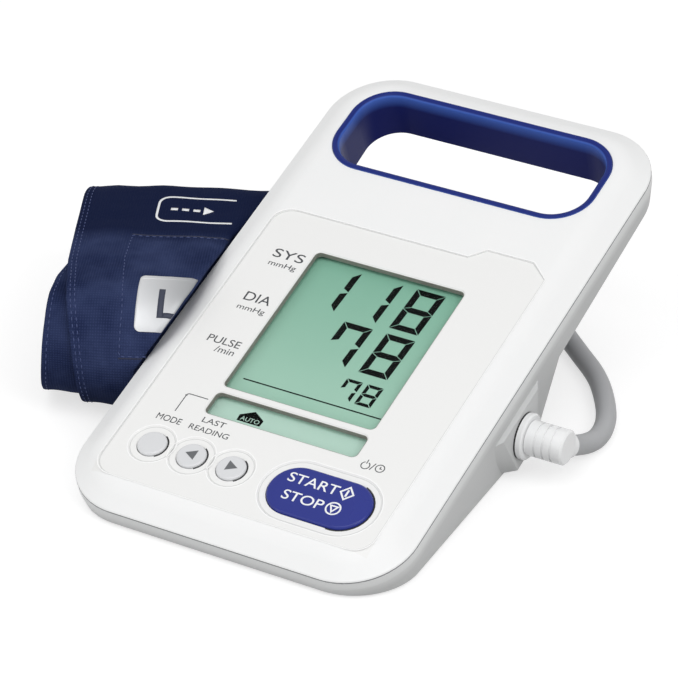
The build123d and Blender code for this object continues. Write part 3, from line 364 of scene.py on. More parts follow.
def nylon_finish(name, tones, thread_gap):
    """Plain-woven nylon: raised warp and weft threads, a soft sheen and slight shading, with
    painted highlights on the thread crossings and painted shade over the top and under the roll.
    """
    material, tree, shader = finish(
        name, Sheen_Weight=0.02, Sheen_Roughness=0.4, Sheen_Tint=linear("#8FA3D6"),
        Specular_IOR_Level=0.03, IOR=1.53
    )
    along = add_node(tree, "ShaderNodeUVMap", uv_map="cloth").outputs["UV"]
    threads = 2 * math.pi / (WAVE_TURNS * thread_gap * MM)
    heights = []
    for axis in ("X", "Y"):
        wave = add_node(
            tree, "ShaderNodeTexWave",
            {"Vector": along, "Scale": threads, "Distortion": 0.4, "Detail Scale": 2.0},
            wave_type="BANDS", bands_direction=axis,
        )
        heights.append(wave.outputs["Fac"])
    crossing = add_node(
        tree, "ShaderNodeMath", {0: heights[0], 1: heights[1]}, operation="MULTIPLY"
    ).outputs[0]
    place = add_node(tree, "ShaderNodeTexCoord").outputs["Object"]
    shade = add_node(
        tree, "ShaderNodeTexNoise",
        {"Vector": place, "Scale": 1 / (22 * MM), "Detail": 4.0, "Roughness": 0.6},
    ).outputs["Fac"]
    worn = add_node(
        tree, "ShaderNodeMapRange", {"Value": shade, "From Min": 0.36, "From Max": 0.64}
    ).outputs[0]
    ground = blend_colours(tree, worn, *tones)
    # Painted highlight: the thread crossings are painted a paler blue.
    lit = add_node(tree, "ShaderNodeMapRange", {"Value": crossing, "To Max": 0.35}).outputs[0]
    woven = blend_colours(tree, lit, ground, "#44507A")
    # Painted shade: the cloth over the top, above the pocket, is painted darker.
    run = add_node(tree, "ShaderNodeSeparateXYZ", {0: along}).outputs[1]
    begin, end = range_mask(tree, run, *TOP_SHADE_START), range_mask(tree, run, *TOP_SHADE_END)
    top_shade_blend = add_node(tree, "ShaderNodeMath", {0: begin, 1: end}, operation="SUBTRACT").outputs[0]
    top_shade_blended = blend_colours(tree, top_shade_blend, woven, "#151D3A")
    # Painted shade: the cloth is painted darker where it turns under the roll.
    coloured = blend_colours(tree, range_mask(tree, run, *UNDER_SHADE), top_shade_blended, "#131930")
    rough = add_node(
        tree, "ShaderNodeMapRange", {"Value": shade, "To Min": 0.78, "To Max": 0.92}
    ).outputs[0]
    bump = add_node(tree, "ShaderNodeBump", {"Height": crossing, "Distance": 0.12 * MM})
    wire(shader, Base_Color=coloured, Roughness=rough, Normal=bump.outputs[0])
    return material


# Navy nylon of the cuff. Real threads are about 0.3 mm apart, drawn 0.9 mm apart to show.
navy_nylon = nylon_finish("navy_woven_nylon", ("#1A2342", "#323C5E"), 0.9)


def label_finish():
    """Silver transfer film: brushed grey metal tone that darkens to the right."""
    material, tree, shader = finish("silver_transfer_film", Metallic=0.35, IOR=1.5)
    along = add_node(tree, "ShaderNodeUVMap", uv_map="cloth").outputs["UV"]
    across = add_node(tree, "ShaderNodeSeparateXYZ", {0: along}).outputs[0]
    toned = blend_colours(tree, range_mask(tree, across, 14, 42), "#D6D7D9", "#77797C")
    place = add_node(tree, "ShaderNodeTexCoord").outputs["Object"]
    grain = add_node(
        tree, "ShaderNodeTexNoise", {"Vector": place, "Scale": 1 / (0.7 * MM), "Detail": 2.0}
    ).outputs["Fac"]
    rough = add_node(
        tree, "ShaderNodeMapRange", {"Value": grain, "To Min": 0.38, "To Max": 0.52}
    ).outputs[0]
    bump = add_node(tree, "ShaderNodeBump", {"Height": grain, "Distance": 0.02 * MM})
    wire(shader, Base_Color=toned, Roughness=rough, Normal=bump.outputs[0])
    return material


silver_film = label_finish()

NODES_OF_FINISH = (
    (white_abs, "front_cover"),
    (grey_abs, "rear_cover battery_cover"),
    (blue_abs, "handle_liner"),
    (clear_acrylic, "display_window"),
    (lcd_green, "lcd_glass"),
    (guide_acrylic, "backlight_guide"),
    (board_green, "main_board"),
    (grey_key, "mode_button back_button forward_button"),
    (blue_key, "start_stop_button"),
    (white_nylon, "air_socket socket_nut air_plug"),
    (black_rubber, "socket_gasket plug_o_ring pump_cradle cuff_bladder hook_patch"),
    (black_nylon, "lcd_frame tact_switches pack_connector dc_jack pump_head air_block "
                  "exhaust_valve pressure_sensor buzzer hose_tie"),
    (plated_steel, "pump_motor pump_rotor valve_plunger housing_screws board_screws"),
    (cell_film, "battery_pack"),
    (clear_pvc, "pump_tube sensor_tube"),
    (foot_rubber, "rubber_feet"),
    (navy_nylon, "cuff_wrap"),
    (silver_film, "cuff_label"),
    (hose_pvc, "cuff_connector air_hose cuff_hose hose_coil"),
)
for node_finish, node_names in NODES_OF_FINISH:
    for node_name in node_names.split():
        cad_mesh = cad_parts[node_name].data
        cad_mesh.materials.clear()
        cad_mesh.materials.append(node_finish)

# ---------------------------------- the unit's face
FACE = Matrix.Translation(Vector(FACE_ORIGIN) * MM) @ Matrix.Rotation(TILT, 4, "X")
MITRE_LEAST = 0.3        # keeps the point of a sharp corner short


def plate(bm, outline, low, high):
    """Flat plate with that outline, in face millimetres, from a low to a high level."""
    rings = [[bm.verts.new((x, v, z)) for x, v in outline] for z in (low, high)]
    bm.faces.new(rings[0][::-1])
    bm.faces.new(rings[1])
    for i in range(len(outline)):
        j = (i + 1) % len(outline)
        bm.faces.new((rings[0][i], rings[0][j], rings[1][j], rings[1][i]))


def stroke(bm, path, width, low, high, closed=False):
    """Line of even width along a path, as a chain of plates that meet on the bisectors."""
    points = [Vector(p) for p in path]
    count = len(points)
    sides = []
    for i, p in enumerate(points):
        before = points[i - 1] if i or closed else None
        after = points[(i + 1) % count] if i < count - 1 or closed else None
        runs = [d.normalized() for d in ((p - before) if before else None,
                                         (after - p) if after else None) if d]
        along = sum(runs, Vector((0, 0))).normalized()
        reach = width / 2 / max(MITRE_LEAST, along.dot(runs[0]))
        sides.append((p + Vector((-along.y, along.x)) * reach,
                      p - Vector((-along.y, along.x)) * reach))
    for i in range(count if closed else count - 1):
        a, b = sides[i], sides[(i + 1) % count]
        plate(bm, [a[0], a[1], b[1], b[0]], low, high)


def arc(centre, radius, start, end, steps):
    """Points of an arc, with its angles in degrees."""
    return [
        (centre[0] + radius * math.cos(math.radians(start + (end - start) * i / steps)),
         centre[1] + radius * math.sin(math.radians(start + (end - start) * i / steps)))
        for i in range(steps + 1)
    ]


def words(bm, text, left, low, wide, tall, level, weight=0.0):
    """Lettering fitted into a box, added to a bmesh in face millimetres."""
    curve = bpy.data.curves.new("lettering", "FONT")
    curve.body = text
    curve.extrude = PRINT
    curve.offset = weight
    holder = bpy.data.objects.new("lettering", curve)
    flat = bpy.data.meshes.new_from_object(holder)
    xs = [v.co.x for v in flat.vertices]
    ys = [v.co.y for v in flat.vertices]
    # Letters stand on their line, but the slash reaches under it and is fitted whole.
    base = 0.0 if text[0] != "/" else min(ys)
    scale = Matrix.Diagonal((wide / (max(xs) - min(xs)), tall / (max(ys) - base), 1, 1))
    flat.transform(Matrix.Translation((left, low, level)) @ scale
                   @ Matrix.Translation((-min(xs), -base, 0)))
    bm.from_mesh(flat)
    bpy.data.objects.remove(holder)
    bpy.data.curves.remove(curve)
    bpy.data.meshes.remove(flat)


def on_face(name, bm, material, body="monitor"):
    """Piece made from a bmesh in face millimetres."""
    bmesh.ops.transform(bm, matrix=FACE @ Matrix.Scale(MM, 4), verts=bm.verts)
    return piece(name, from_bmesh(name, bm, rounded=False), material, body)


# Words and marks on the recessed field.
ink = bmesh.new()
for text, left, low, wide, tall in (
    ("SYS", -42.0, 115.5, 11.6, 3.9), ("mmHg", -41.4, 111.6, 10.4, 2.1),
    ("DIA", -41.3, 94.2, 9.9, 3.9), ("mmHg", -41.4, 90.0, 10.4, 2.1),
    ("PULSE", -43.5, 73.5, 12.3, 3.0), ("/min", -38.7, 69.9, 7.2, 2.7),
    ("MODE", -41.8, 37.1, 9.1, 2.5), ("LAST", -26.6, 41.0, 8.5, 2.2),
    ("READING", -29.4, 37.0, 14.7, 2.2),
):
    words(ink, text, left, low, wide, tall, FIELD)
FINE_LINE = 0.32         # width of the fine lines in the print
for path, closed in (
    # The line from MODE to the small window, then a power sign, a slash and a clock.
    ([(-37.2, 42.0), (-37.2, 49.3)] + arc((-36.2, 49.3), 1.0, 180, 90, 4) + [(-29.4, 50.3)],
     False),
    (arc((32.9, 43.4), 1.45, 65, -245, 20), False),
    ([(32.9, 44.2), (32.9, 45.9)], False),
    ([(34.9, 42.2), (35.9, 45.2)], False),
    (arc((38.0, 43.8), 1.5, 0, 345, 23), True),
    ([(38.0, 44.6), (38.0, 43.7), (38.7, 43.7)], False),
):
    stroke(ink, path, FINE_LINE, FIELD, FIELD + PRINT, closed)
on_face("face_print", ink, cover_ink)

# Arrows on the two stepping keys.
INK_LOW, INK_HIGH = KEY_TOP - 0.02, KEY_TOP + PRINT    # it starts just inside the key
ARROW_UP, ARROW_BACK, ARROW_POINT, ARROW_SPREAD = 27.2, 1.5, 2.3, 2.1
for name, x, turn, body in (("back_arrow", ROUND_KEYS[1], -1, "back_key"),
                            ("forward_arrow", ROUND_KEYS[2], 1, "forward_key")):
    arrow = bmesh.new()
    back = x - turn * ARROW_BACK
    corners = [(back, ARROW_UP - ARROW_SPREAD), (back, ARROW_UP + ARROW_SPREAD),
               (x + turn * ARROW_POINT, ARROW_UP)]
    plate(arrow, corners[::turn], INK_LOW, INK_HIGH)
    on_face(name, arrow, arrow_ink, body)

# Words and signs on the start key.
key_ink = bmesh.new()
BOLD = 0.005             # thickening of the letters, as a share of the lettering's size
words(key_ink, "START", 12.4, 28.5, 18.0, 3.8, KEY_TOP, BOLD)
words(key_ink, "STOP", 14.0, 21.4, 14.6, 3.8, KEY_TOP, BOLD)
for path, width, closed in (
    # A diamond with a bar in it, then a ring with a triangle in it.
    ([(31.1, 30.4), (33.4, 33.0), (35.7, 30.4), (33.4, 27.8)], 0.6, True),
    ([(33.4, 29.0), (33.4, 31.8)], 0.7, False),
    (arc((32.2, 23.3), 2.4, 0, 345, 23), 0.55, True),
    ([(30.9, 24.3), (33.5, 24.3), (32.2, 21.9)], 0.55, True),
):
    stroke(key_ink, path, width, INK_LOW, INK_HIGH, closed)
on_face("start_key_print", key_ink, white_ink, "start_stop_key")

# ---------------------------------- display
LIT = IMAGE + 0.05       # top of what is switched on
LIT_BY_DIGIT = {"1": "bc", "7": "abcf", "8": "abcdefg"}


def digit(bm, figure, left, low, wide, tall, thick, gap=0.18, lean=0.045):
    """Seven-segment figure with mitred ends and thin gaps between its segments."""
    mid = tall / 2
    step = thick / 2
    corners = {
        "a": [(gap, tall), (thick + gap, tall - thick), (wide - thick - gap, tall - thick),
              (wide - gap, tall)],
        "d": [(gap, 0), (wide - gap, 0), (wide - thick - gap, thick), (thick + gap, thick)],
        "f": [(0, tall - gap), (0, mid + gap), (thick, mid + step + gap),
              (thick, tall - thick - gap)],
        "e": [(0, gap), (thick, thick + gap), (thick, mid - step - gap), (0, mid - gap)],
        "g": [(gap, mid), (thick + gap, mid - step), (wide - thick - gap, mid - step),
              (wide - gap, mid), (wide - thick - gap, mid + step), (thick + gap, mid + step)],
    }
    corners["b"] = [(wide - x, y) for x, y in corners["f"]][::-1]
    corners["c"] = [(wide - x, y) for x, y in corners["e"]][::-1]
    for segment in LIT_BY_DIGIT[figure]:
        plate(bm, [(left + x + lean * (y - mid), low + y) for x, y in corners[segment]],
              IMAGE, LIT)


segments = bmesh.new()
# Each line of figures: its near edge, their width, height and stroke, and their left edges.
for low, wide, tall, thick, figures in (
    (102.4, 10.8, 19.0, 2.35, (("1", -21.9), ("1", -6.1), ("8", 9.9))),
    (81.2, 10.8, 18.6, 2.35, (("7", -6.2), ("8", 9.7))),
    (68.2, 5.9, 9.2, 1.25, (("7", 7.2), ("8", 14.9))),
):
    for figure, left in figures:
        digit(segments, figure, left, low, wide, tall, thick)
plate(segments, [(-25.2, 65.0), (26.3, 65.0), (26.3, 65.5), (-25.2, 65.5)], IMAGE, LIT)
plate(segments, [(-18.3, 48.4), (-9.7, 48.4), (-9.5, 50.9), (-13.9, 53.6), (-18.4, 50.9)],
      IMAGE, LIT)
on_face("lcd_segments", segments, lcd_black)
auto_word = bmesh.new()
words(auto_word, "AUTO", -17.4, 48.9, 6.9, 1.7, LIT)
on_face("lcd_auto_word", auto_word, lcd_green)


# ---------------------------------- joint between the covers
def rounded_outline(half_wide, low, high, radius, steps, grow):
    """Closed outline of a rounded rectangle centred across the face, grown outwards by grow."""
    half_wide, low, high, radius = half_wide + grow, low - grow, high + grow, radius + grow
    corners = [(half_wide - radius, low + radius, -90), (half_wide - radius, high - radius, 0),
               (radius - half_wide, high - radius, 90), (radius - half_wide, low + radius, 180)]
    return [p for x, v, a in corners for p in arc((x, v), radius, a, a + 90, steps)]


def band(bm, outline, inner, low, high):
    """Closed band between two outlines with equal counts, from a low to a high level."""
    rows = [[bm.verts.new((x, v, z)) for x, v in line]
            for line, z in ((outline, low), (outline, high), (inner, high), (inner, low))]
    for row, after in zip(rows, rows[1:] + rows[:1]):
        for i in range(len(outline)):
            j = (i + 1) % len(outline)
            bm.faces.new((row[i], row[j], after[j], after[i]))


# The joint stands a hair proud of the covers, so that it shows as a fine line.
JOINT_LOW, JOINT_HIGH = -5.85, -5.5
seam = bmesh.new()
face_edge = (FACE_HALF, 0, FACE_LENGTH, FACE_CORNER, 14)
band(seam, rounded_outline(*face_edge, grow=0.04), rounded_outline(*face_edge, grow=-0.5),
     JOINT_LOW, JOINT_HIGH)
on_face("cover_joint", seam, joint_grey)

# Painted shade on the walls of the two display windows.
WALL_LOW, WALL_HIGH = -2.66, -0.95
shade_band = bmesh.new()
for low, high in WINDOWS:
    window = (WINDOW_HALF, low, high, WINDOW_CORNER, 6)
    band(shade_band, rounded_outline(*window, grow=-0.02), rounded_outline(*window, grow=-0.15),
         WALL_LOW, WALL_HIGH)
on_face("window_shade_band", shade_band, window_wall_shade)

# Moulded edges of the field and the key wells: a painted highlight along each crest, over
# painted shade at its foot. The gap beside each key gets a painted shadow, a dark line on
# the well's floor.
SKIN = 0.03              # thickness of a crest or a foot
EDGE_LINE, RING_LINE, GAP_LINE = 0.34, 0.3, 0.5    # widths of these lines
CREST_ROUND, FOOT_ROUND, GAP_ROUND = 8.2, 7.45, 5.32    # their radii at a round key
CREST_START, FOOT_START, GAP_START = 13.0, 12.25, 10.15    # and at the start key's ends
crests, feet, gaps = bmesh.new(), bmesh.new(), bmesh.new()
for lines, out, level in ((crests, 0.22, 0.0), (feet, -0.2, FIELD)):
    half, low, high = FIELD_HALF + out, FIELD_LOW - out, FIELD_HIGH + out
    right, left = half - FIELD_CORNER, FIELD_CORNER - half
    near, far = low + FIELD_CORNER, high - FIELD_CORNER
    edge = arc((right, near), FIELD_CORNER, -90, 0, 6)
    edge += [(half, TAB_BEND), (right, TAB_HIGH + out), (TAB_TOP, TAB_HIGH + out),
             (TAB_FOOT, high)]
    edge += arc((left, far), FIELD_CORNER, 90, 180, 6)
    edge += arc((left, near), FIELD_CORNER, 180, 270, 6)
    stroke(lines, edge, EDGE_LINE, level, level + SKIN, closed=True)
for x in ROUND_KEYS:
    middle = (x, ROUND_KEY_UP)
    for lines, radius, level in ((crests, CREST_ROUND, FIELD), (feet, FOOT_ROUND, WELL)):
        ring = arc(middle, radius, 0, 345, 23)
        stroke(lines, ring, RING_LINE, level, level + SKIN, closed=True)
    stroke(gaps, arc(middle, GAP_ROUND, -55, 60, 12), GAP_LINE, WELL, WELL + PRINT)
right_end_mid, left_end_mid = [(START_KEY + way * START_KEY_REACH, START_KEY_UP)
                               for way in (1, -1)]
for lines, radius, level in ((crests, CREST_START, FIELD), (feet, FOOT_START, WELL)):
    oval = arc(right_end_mid, radius, -90, 90, 14) + arc(left_end_mid, radius, 90, 270, 14)
    stroke(lines, oval, RING_LINE, level, level + SKIN, closed=True)
stroke(gaps, arc(right_end_mid, GAP_START, -95, 70, 16), GAP_LINE, WELL, WELL + PRINT)
# The dark lines in the key gaps are painted shadow.
on_face("key_gap_shadows", gaps, black_rubber)
on_face("crest_highlight_lines", crests, crest_highlight)
on_face("foot_shade_lines", feet, foot_shade)

# ---------------------------------- hose
HOSE = 7.0               # outside diameter
COIL_X, COIL_Y, OUTER_TURN, INNER_TURN = 22.0, 68.9, 42.5, 35.5
FLOOR_LAYER, UPPER_LAYER, TOP_LAYER = 3.6, 10.6, 17.6
JOIN_ANGLE, LEAVE_ANGLE = 44.0, 95.0


def on_ring(angle, radius, z):
    """Point on a turn of the coil."""
    a = math.radians(angle)
    return (COIL_X + radius * math.cos(a), COIL_Y + radius * math.sin(a), z)


TURN_STEP = 15           # degrees between the coil's points, 24 to a turn
FULL = 360
# The coil's radius and level at an angle from where the hose joins it.
RADIUS_ALONG = [(0, OUTER_TURN), (300, OUTER_TURN), (360, INNER_TURN), (1020, INNER_TURN),
                (1080, OUTER_TURN), (1500, OUTER_TURN)]
LEVEL_ALONG = [(0, FLOOR_LAYER), (660, FLOOR_LAYER), (720, UPPER_LAYER), (1365, UPPER_LAYER),
               (1440, TOP_LAYER), (1500, TOP_LAYER)]
hose_line = [
    (109.66, -0.773, 10.85), (109.66, 7.887, 5.85), (112.2, 17.5, 3.6), (110.0, 29.3, 3.6),
    (103.6, 41.4, 3.6), (94.2, 54.6, 3.6), (81.8, 65.6, 3.6), (68.5, 78.0, 3.6),
]
LAST_ANGLE = int(4 * FULL + LEAVE_ANGLE - JOIN_ANGLE)
for turn in range(0, LAST_ANGLE + 1, TURN_STEP):
    hose_line.append(on_ring(JOIN_ANGLE + turn, between(RADIUS_ALONG, turn),
                             between(LEVEL_ALONG, turn)))
hose_line += [
    (-6.6, 110.5, 14.0), (-15.6, 109.2, 10.6), (-33.0, 109.0, 6.0), (-55.0, 110.8, 4.0),
    (-65.8, 105.8, 3.9), (-72.5, 96.1, 3.9), (-73.44, 84.07, 3.85), (-63.42, 62.58, 11.78),
]


def smooth_line(name, points, resolution):
    """Points read from a NURBS spline through a route that is given in millimetres."""
    curve = bpy.data.curves.new(name, "CURVE")
    curve.dimensions = "3D"
    curve.resolution_u = resolution
    spline = curve.splines.new("NURBS")
    spline.points.add(len(points) - 1)
    for point, place in zip(spline.points, points):
        point.co = (*(c * MM for c in place), 1)
    spline.order_u = 3
    spline.use_endpoint_u = True
    holder = bpy.data.objects.new(name, curve)
    line = [v.co.copy() for v in bpy.data.meshes.new_from_object(holder).vertices]
    bpy.data.objects.remove(holder)
    bpy.data.curves.remove(curve)
    return line


def tube(name, line, radius, sides=20):
    """Closed round tube along a line, with its length and girth as UV in metres."""
    bm = bmesh.new()
    uv = bm.loops.layers.uv.new("cloth")
    normal = (line[1] - line[0]).orthogonal().normalized()
    rings, lengths, run = [], [], 0.0
    for i, p in enumerate(line):
        ahead = (line[min(i + 1, len(line) - 1)] - line[max(i - 1, 0)]).normalized()
        normal = (normal - normal.dot(ahead) * ahead).normalized()
        side = ahead.cross(normal)
        rings.append([bm.verts.new(p + radius * (normal * math.cos(2 * math.pi * k / sides)
                                                 + side * math.sin(2 * math.pi * k / sides)))
                      for k in range(sides)])
        run += (p - line[i - 1]).length if i else 0.0
        lengths.append(run)
    girth = 2 * math.pi * radius
    for i in range(len(rings) - 1):
        for k in range(sides):
            add_face(bm, uv, [(rings[r][c % sides], (lengths[r], c / sides * girth))
                              for r, c in ((i, k), (i, k + 1), (i + 1, k + 1), (i + 1, k))])
    bm.faces.new(rings[0][::-1])
    bm.faces.new(rings[-1])
    return from_bmesh(name, bm)


hose_path = smooth_line("hose_route", hose_line, 8)
hose = piece("air_hose_line", tube("air_hose_line", hose_path, HOSE / 2 * MM), hose_pvc,
             body=None)
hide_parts("air_hose", "hose_coil", "cuff_hose")
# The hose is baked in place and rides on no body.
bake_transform(hose)

# ---------------------------------- rolled cuff
ROLL_TURN = math.radians(25)
AXIS = Vector((math.cos(ROLL_TURN), math.sin(ROLL_TURN), 0))
ACROSS = Vector((-AXIS.y, AXIS.x, 0))
ROLL_R, ROLL_HALF = 22.6, 31.0    # radius of the round sides, half the flat between them
ROLL_FRONT = (-50.74, -35.6, ROLL_R)    # centre of the front round side
ROLL_MID = Vector(ROLL_FRONT) + ACROSS * ROLL_HALF
CUT_X = -27.3            # where the roll meets the unit's side, less a small gap
CLOTH = 3.2              # thickness of a layer with the air bag in it
HEM = 1.6                # thickness of the sewn edge
HEM_FLAT, HEM_RISE = 3.0, 9.0    # width of the flat hem, and of the rise to full thickness
END_RISE = 2.0           # width of the rise from the right end
LAYER_STEP = 3.6
STEP_AT = 0.88           # share of a turn after which the strip steps inwards
FLOOR_GAP = 0.25
TURNS, LAYERS = 2.9, 3
TURN_RUN = 248           # cloth that a turn takes, as its pattern and creases count it
OUTER_END = 0.06         # share of a turn from the lower rear to the strip's outer end


def ring_spot(q, radius):
    """Place and outward direction at a share q round a flat-sided ring, from its lower rear."""
    # Each half turn is a flat, on a share from 0 to 1, and then a round side, from 1 to 2.
    way = 1 if q % 1.0 < 0.5 else -1
    share = q % 0.5 * 4
    if share < 1:
        return Vector((way * ROLL_HALF * (1 - 2 * share), -way * radius)), Vector((0, -way))
    a = math.radians(-90 * way - 180 * (share - 1))
    out = Vector((math.cos(a), math.sin(a)))
    return Vector((-way * ROLL_HALF, 0)) + out * radius, out


# Where the strip's left edge lies along the roll, by the share of a turn, one list for each
# turn inwards: the turns are wound unevenly.
LEFT_EDGES = (
    [(0, -9.5), (0.2, -9.5), (0.25, -6.0), (0.29, -2.8), (0.33, -3.2), (0.375, -4.1),
     (0.41, -5.2), (0.44, -6.5), (0.47, -7.9), (0.5, -8.9), (0.56, -10.6), (0.65, -11.4),
     (0.75, -12.0), (0.85, -11.0), (1, -9.5)],
    [(0, -18.0), (0.25, -17.2), (0.33, -16.4), (0.375, -15.6), (0.44, -14.8), (0.5, -14.6),
     (0.54, -13.8), (0.58, -11.2), (0.62, -9.2), (0.75, -8.5), (1, -14.0)],
    [(0, -9.0), (0.3, -7.0), (0.6, -5.0), (1, -8.0)],
)


# The roll's right end leans over the unit's sloping rim, along the plane that just clears it.
RIM_SIDE, RIM_RISE = -0.829, 0.5592    # the rim's outward direction, across and over the face
RIM_OUT = Vector((RIM_SIDE, 0, 0)) + RIM_RISE * Vector((0, -math.sin(TILT), math.cos(TILT)))
RIM_REACH = 49.0         # how far out the plane lies from the face's middle


def right_end(place):
    """Where the strip ends beside the unit, at a place across the roll."""
    spot = ROLL_MID + ACROSS * place.x + Vector((0, 0, place.y))
    beside = (CUT_X - spot.x) / AXIS.x
    over = ((spot - Vector(FACE_ORIGIN)).dot(RIM_OUT) - RIM_REACH) / -AXIS.dot(RIM_OUT)
    return max(beside, over)


def layer_radius(t):
    """Middle radius after t turns inwards. The strip steps inwards at the end of each turn."""
    whole = int(t)
    step = smooth((t - whole - STEP_AT) / (1 - STEP_AT))
    return ROLL_R - CLOTH / 2 - LAYER_STEP * (whole + step)


def creases(a, w):
    """Unevenness of the cloth in mm, at a along the roll and w round it."""
    broad = noise.noise(Vector((a / 30, w / 26, 3.1)))
    pulled = noise.noise(Vector((a / 11 + w / 40, w / 34, 8.7)))
    folds = noise.noise(Vector((a / 17, w / 6.5, 1.9)))
    return 0.65 * broad + 0.5 * pulled + 0.45 * folds


def strip_section(t):
    """Middle place and outward direction after t turns, and the strip's left and right ends."""
    q = (OUTER_END + t) % 1.0
    place, out = ring_spot(q, layer_radius(t))
    left = between(LEFT_EDGES[min(int(t + OUTER_END), LAYERS - 1)], q)
    return place, out, left, right_end(place)


def strip_edges(t):
    """Left and right end of the strip along the roll, after t turns."""
    return strip_section(t)[2:]


def strip_point(t, a, side, lift=0.0):
    """World place on the strip: t turns in, a along the roll, side 1 outside and -1 inside."""
    place, out, left, right = strip_section(t)
    # The cloth thins to its hem on the left and to a rounded end on the right.
    thick = HEM + (CLOTH - HEM) * smooth((a - left - HEM_FLAT) / HEM_RISE)
    thick *= 0.6 + 0.4 * smooth((right - a) / END_RISE)
    shift = creases(a, t * TURN_RUN) * smooth((a - left) / 12 + 0.3)
    place = place + out * (side * thick / 2 + shift + lift)
    spot = ROLL_MID + AXIS * a + ACROSS * place.x + Vector((0, 0, place.y))
    spot.z = max(spot.z, FLOOR_GAP + lift)
    return spot * MM


def cuff_mesh():
    """Strip of padded cloth wound inwards, with rounded sewn edges."""
    bm = bmesh.new()
    uv = bm.loops.layers.uv.new("cloth")
    steps = 440
    # Shares of the width, closer together towards the edges.
    hem = [0, 0.006, 0.02, 0.05, 0.09, 0.14, 0.2]
    shares = hem + [0.2 + 0.6 * i / 14 for i in range(1, 14)] + [1 - s for s in hem[::-1]]
    rows, marks = [], []
    for i in range(steps + 1):
        t = TURNS * i / steps
        left, right = strip_edges(t)
        row, mark = [], []
        for side in (1, -1):
            for share in (shares if side == 1 else shares[::-1]):
                a = left + (right - left) * share
                # The very edge is drawn to the middle, so the hem comes out rounded.
                near = min(share, 1 - share)
                edge_side = side * (0.35 if near == 0 else 0.85 if near < 0.01 else 1.0)
                row.append(bm.verts.new(strip_point(t, a, edge_side)))
                mark.append((a * MM, t * TURN_RUN * MM))
        rows.append(row)
        marks.append(mark)
    count = len(rows[0])
    for i in range(steps):
        for k in range(count):
            m = (k + 1) % count
            add_face(bm, uv, [(rows[r][c], marks[r][c])
                              for r, c in ((i, k), (i, m), (i + 1, m), (i + 1, k))])
    for row in (rows[0][::-1], rows[-1]):
        half_count = count // 2
        for k in range(half_count - 1):
            bm.faces.new((row[k], row[k + 1], row[count - 2 - k], row[count - 1 - k]))
    return from_bmesh("cuff_roll", bm)


cuff = piece("cuff_roll", cuff_mesh(), navy_nylon)
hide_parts("cuff_wrap", "cuff_bladder", "hook_patch")

ARC_RUN = math.pi * ROLL_R


def turn_at(w):
    """Turns inwards of a place w mm round the outside, from the lower front edge."""
    if w <= ARC_RUN:
        q = 0.25 + 0.25 * w / ARC_RUN
    else:
        q = 0.5 + 0.25 * (w - ARC_RUN) / (2 * ROLL_HALF)
    return q - OUTER_END


def at_angle(angle):
    """Distance round the front shoulder to an angle over the horizontal."""
    return ARC_RUN * (angle + 90) / 180


def on_top(s):
    """Distance round to a place s across the flat top, from the roll's middle."""
    return ARC_RUN + s + ROLL_HALF


END_GAP = 0.05           # what lies on the cloth stops this far from its right end
THREAD_LIFT = 0.05


def on_cloth(a, w, lift):
    """World place on the outside of the roll, kept off its right end."""
    t = turn_at(w)
    return strip_point(t, min(a, strip_edges(t)[1] - END_GAP), 1, lift)


def spaced(spots, step):
    """Places about step mm apart through (along, round) places, without the last one."""
    places = []
    for (a0, w0), (a1, w1) in zip(spots, spots[1:]):
        count = max(1, int(math.hypot(a1 - a0, w1 - w0) / step))
        places += [(a0 + (a1 - a0) * i / count, w0 + (w1 - w0) * i / count)
                   for i in range(count)]
    return places


def cuff_patch(name, rows, lift, thick, material):
    """Thin patch on the cuff. Rows are lists of (along, round) places of equal count."""
    bm = bmesh.new()
    uv = bm.loops.layers.uv.new("cloth")
    levels = []
    for height in (lift, lift - thick):
        levels.append([[bm.verts.new(on_cloth(a, w, height)) for a, w in row] for row in rows])
    last, end = len(rows) - 1, len(rows[0]) - 1

    def quad(*spots):
        add_face(bm, uv, [(levels[n][i][k], (rows[i][k][0] * MM, rows[i][k][1] * MM))
                          for n, i, k in spots])

    for i in range(last):
        for k in range(end):
            quad((0, i, k), (0, i, k + 1), (0, i + 1, k + 1), (0, i + 1, k))
            quad((1, i, k), (1, i + 1, k), (1, i + 1, k + 1), (1, i, k + 1))
        for k in (0, end):
            quad((0, i, k), (0, i + 1, k), (1, i + 1, k), (1, i, k))
    for k in range(end):
        for i in (0, last):
            quad((0, i, k), (1, i, k), (1, i, k + 1), (0, i, k + 1))
    return piece(name, from_bmesh(name, bm), material)


# Silver label over the front shoulder, with rounded corners at its free end.
LABEL_LEFT, LABEL_LOW, LABEL_HIGH, LABEL_CORNER = 15.9, at_angle(37.2), on_top(-27.8), 2.0
FILM_LIFT, FILM_THICK = 0.3, 0.45


def label_row(w):
    """Row of the label at w round the roll, from its left end to the unit."""
    edge = min(w - LABEL_LOW, LABEL_HIGH - w)
    corner = LABEL_CORNER - math.sqrt(max(0.0, LABEL_CORNER ** 2
                                          - max(0.0, LABEL_CORNER - edge) ** 2))
    left = LABEL_LEFT + corner
    right = strip_edges(turn_at(w))[1] - END_GAP
    return [(left + (right - left) * k / 20, w) for k in range(21)]


ROUNDING = [LABEL_CORNER * (1 - math.cos(math.pi / 2 * i / 6)) for i in range(7)]
LABEL_PLAIN = LABEL_HIGH - LABEL_LOW - 2 * LABEL_CORNER    # between the rounded corners
label_places = [LABEL_LOW + r for r in ROUNDING[:-1]]
label_places += [LABEL_LOW + LABEL_CORNER + LABEL_PLAIN * i / 14 for i in range(15)]
# The last rows run back over the far corner, so the film is double there.
label_places += [LABEL_HIGH - r for r in ROUNDING[1:]]
label = cuff_patch("cuff_label_film", [label_row(w) for w in label_places], FILM_LIFT,
                   FILM_THICK, silver_film)
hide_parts("cuff_label")


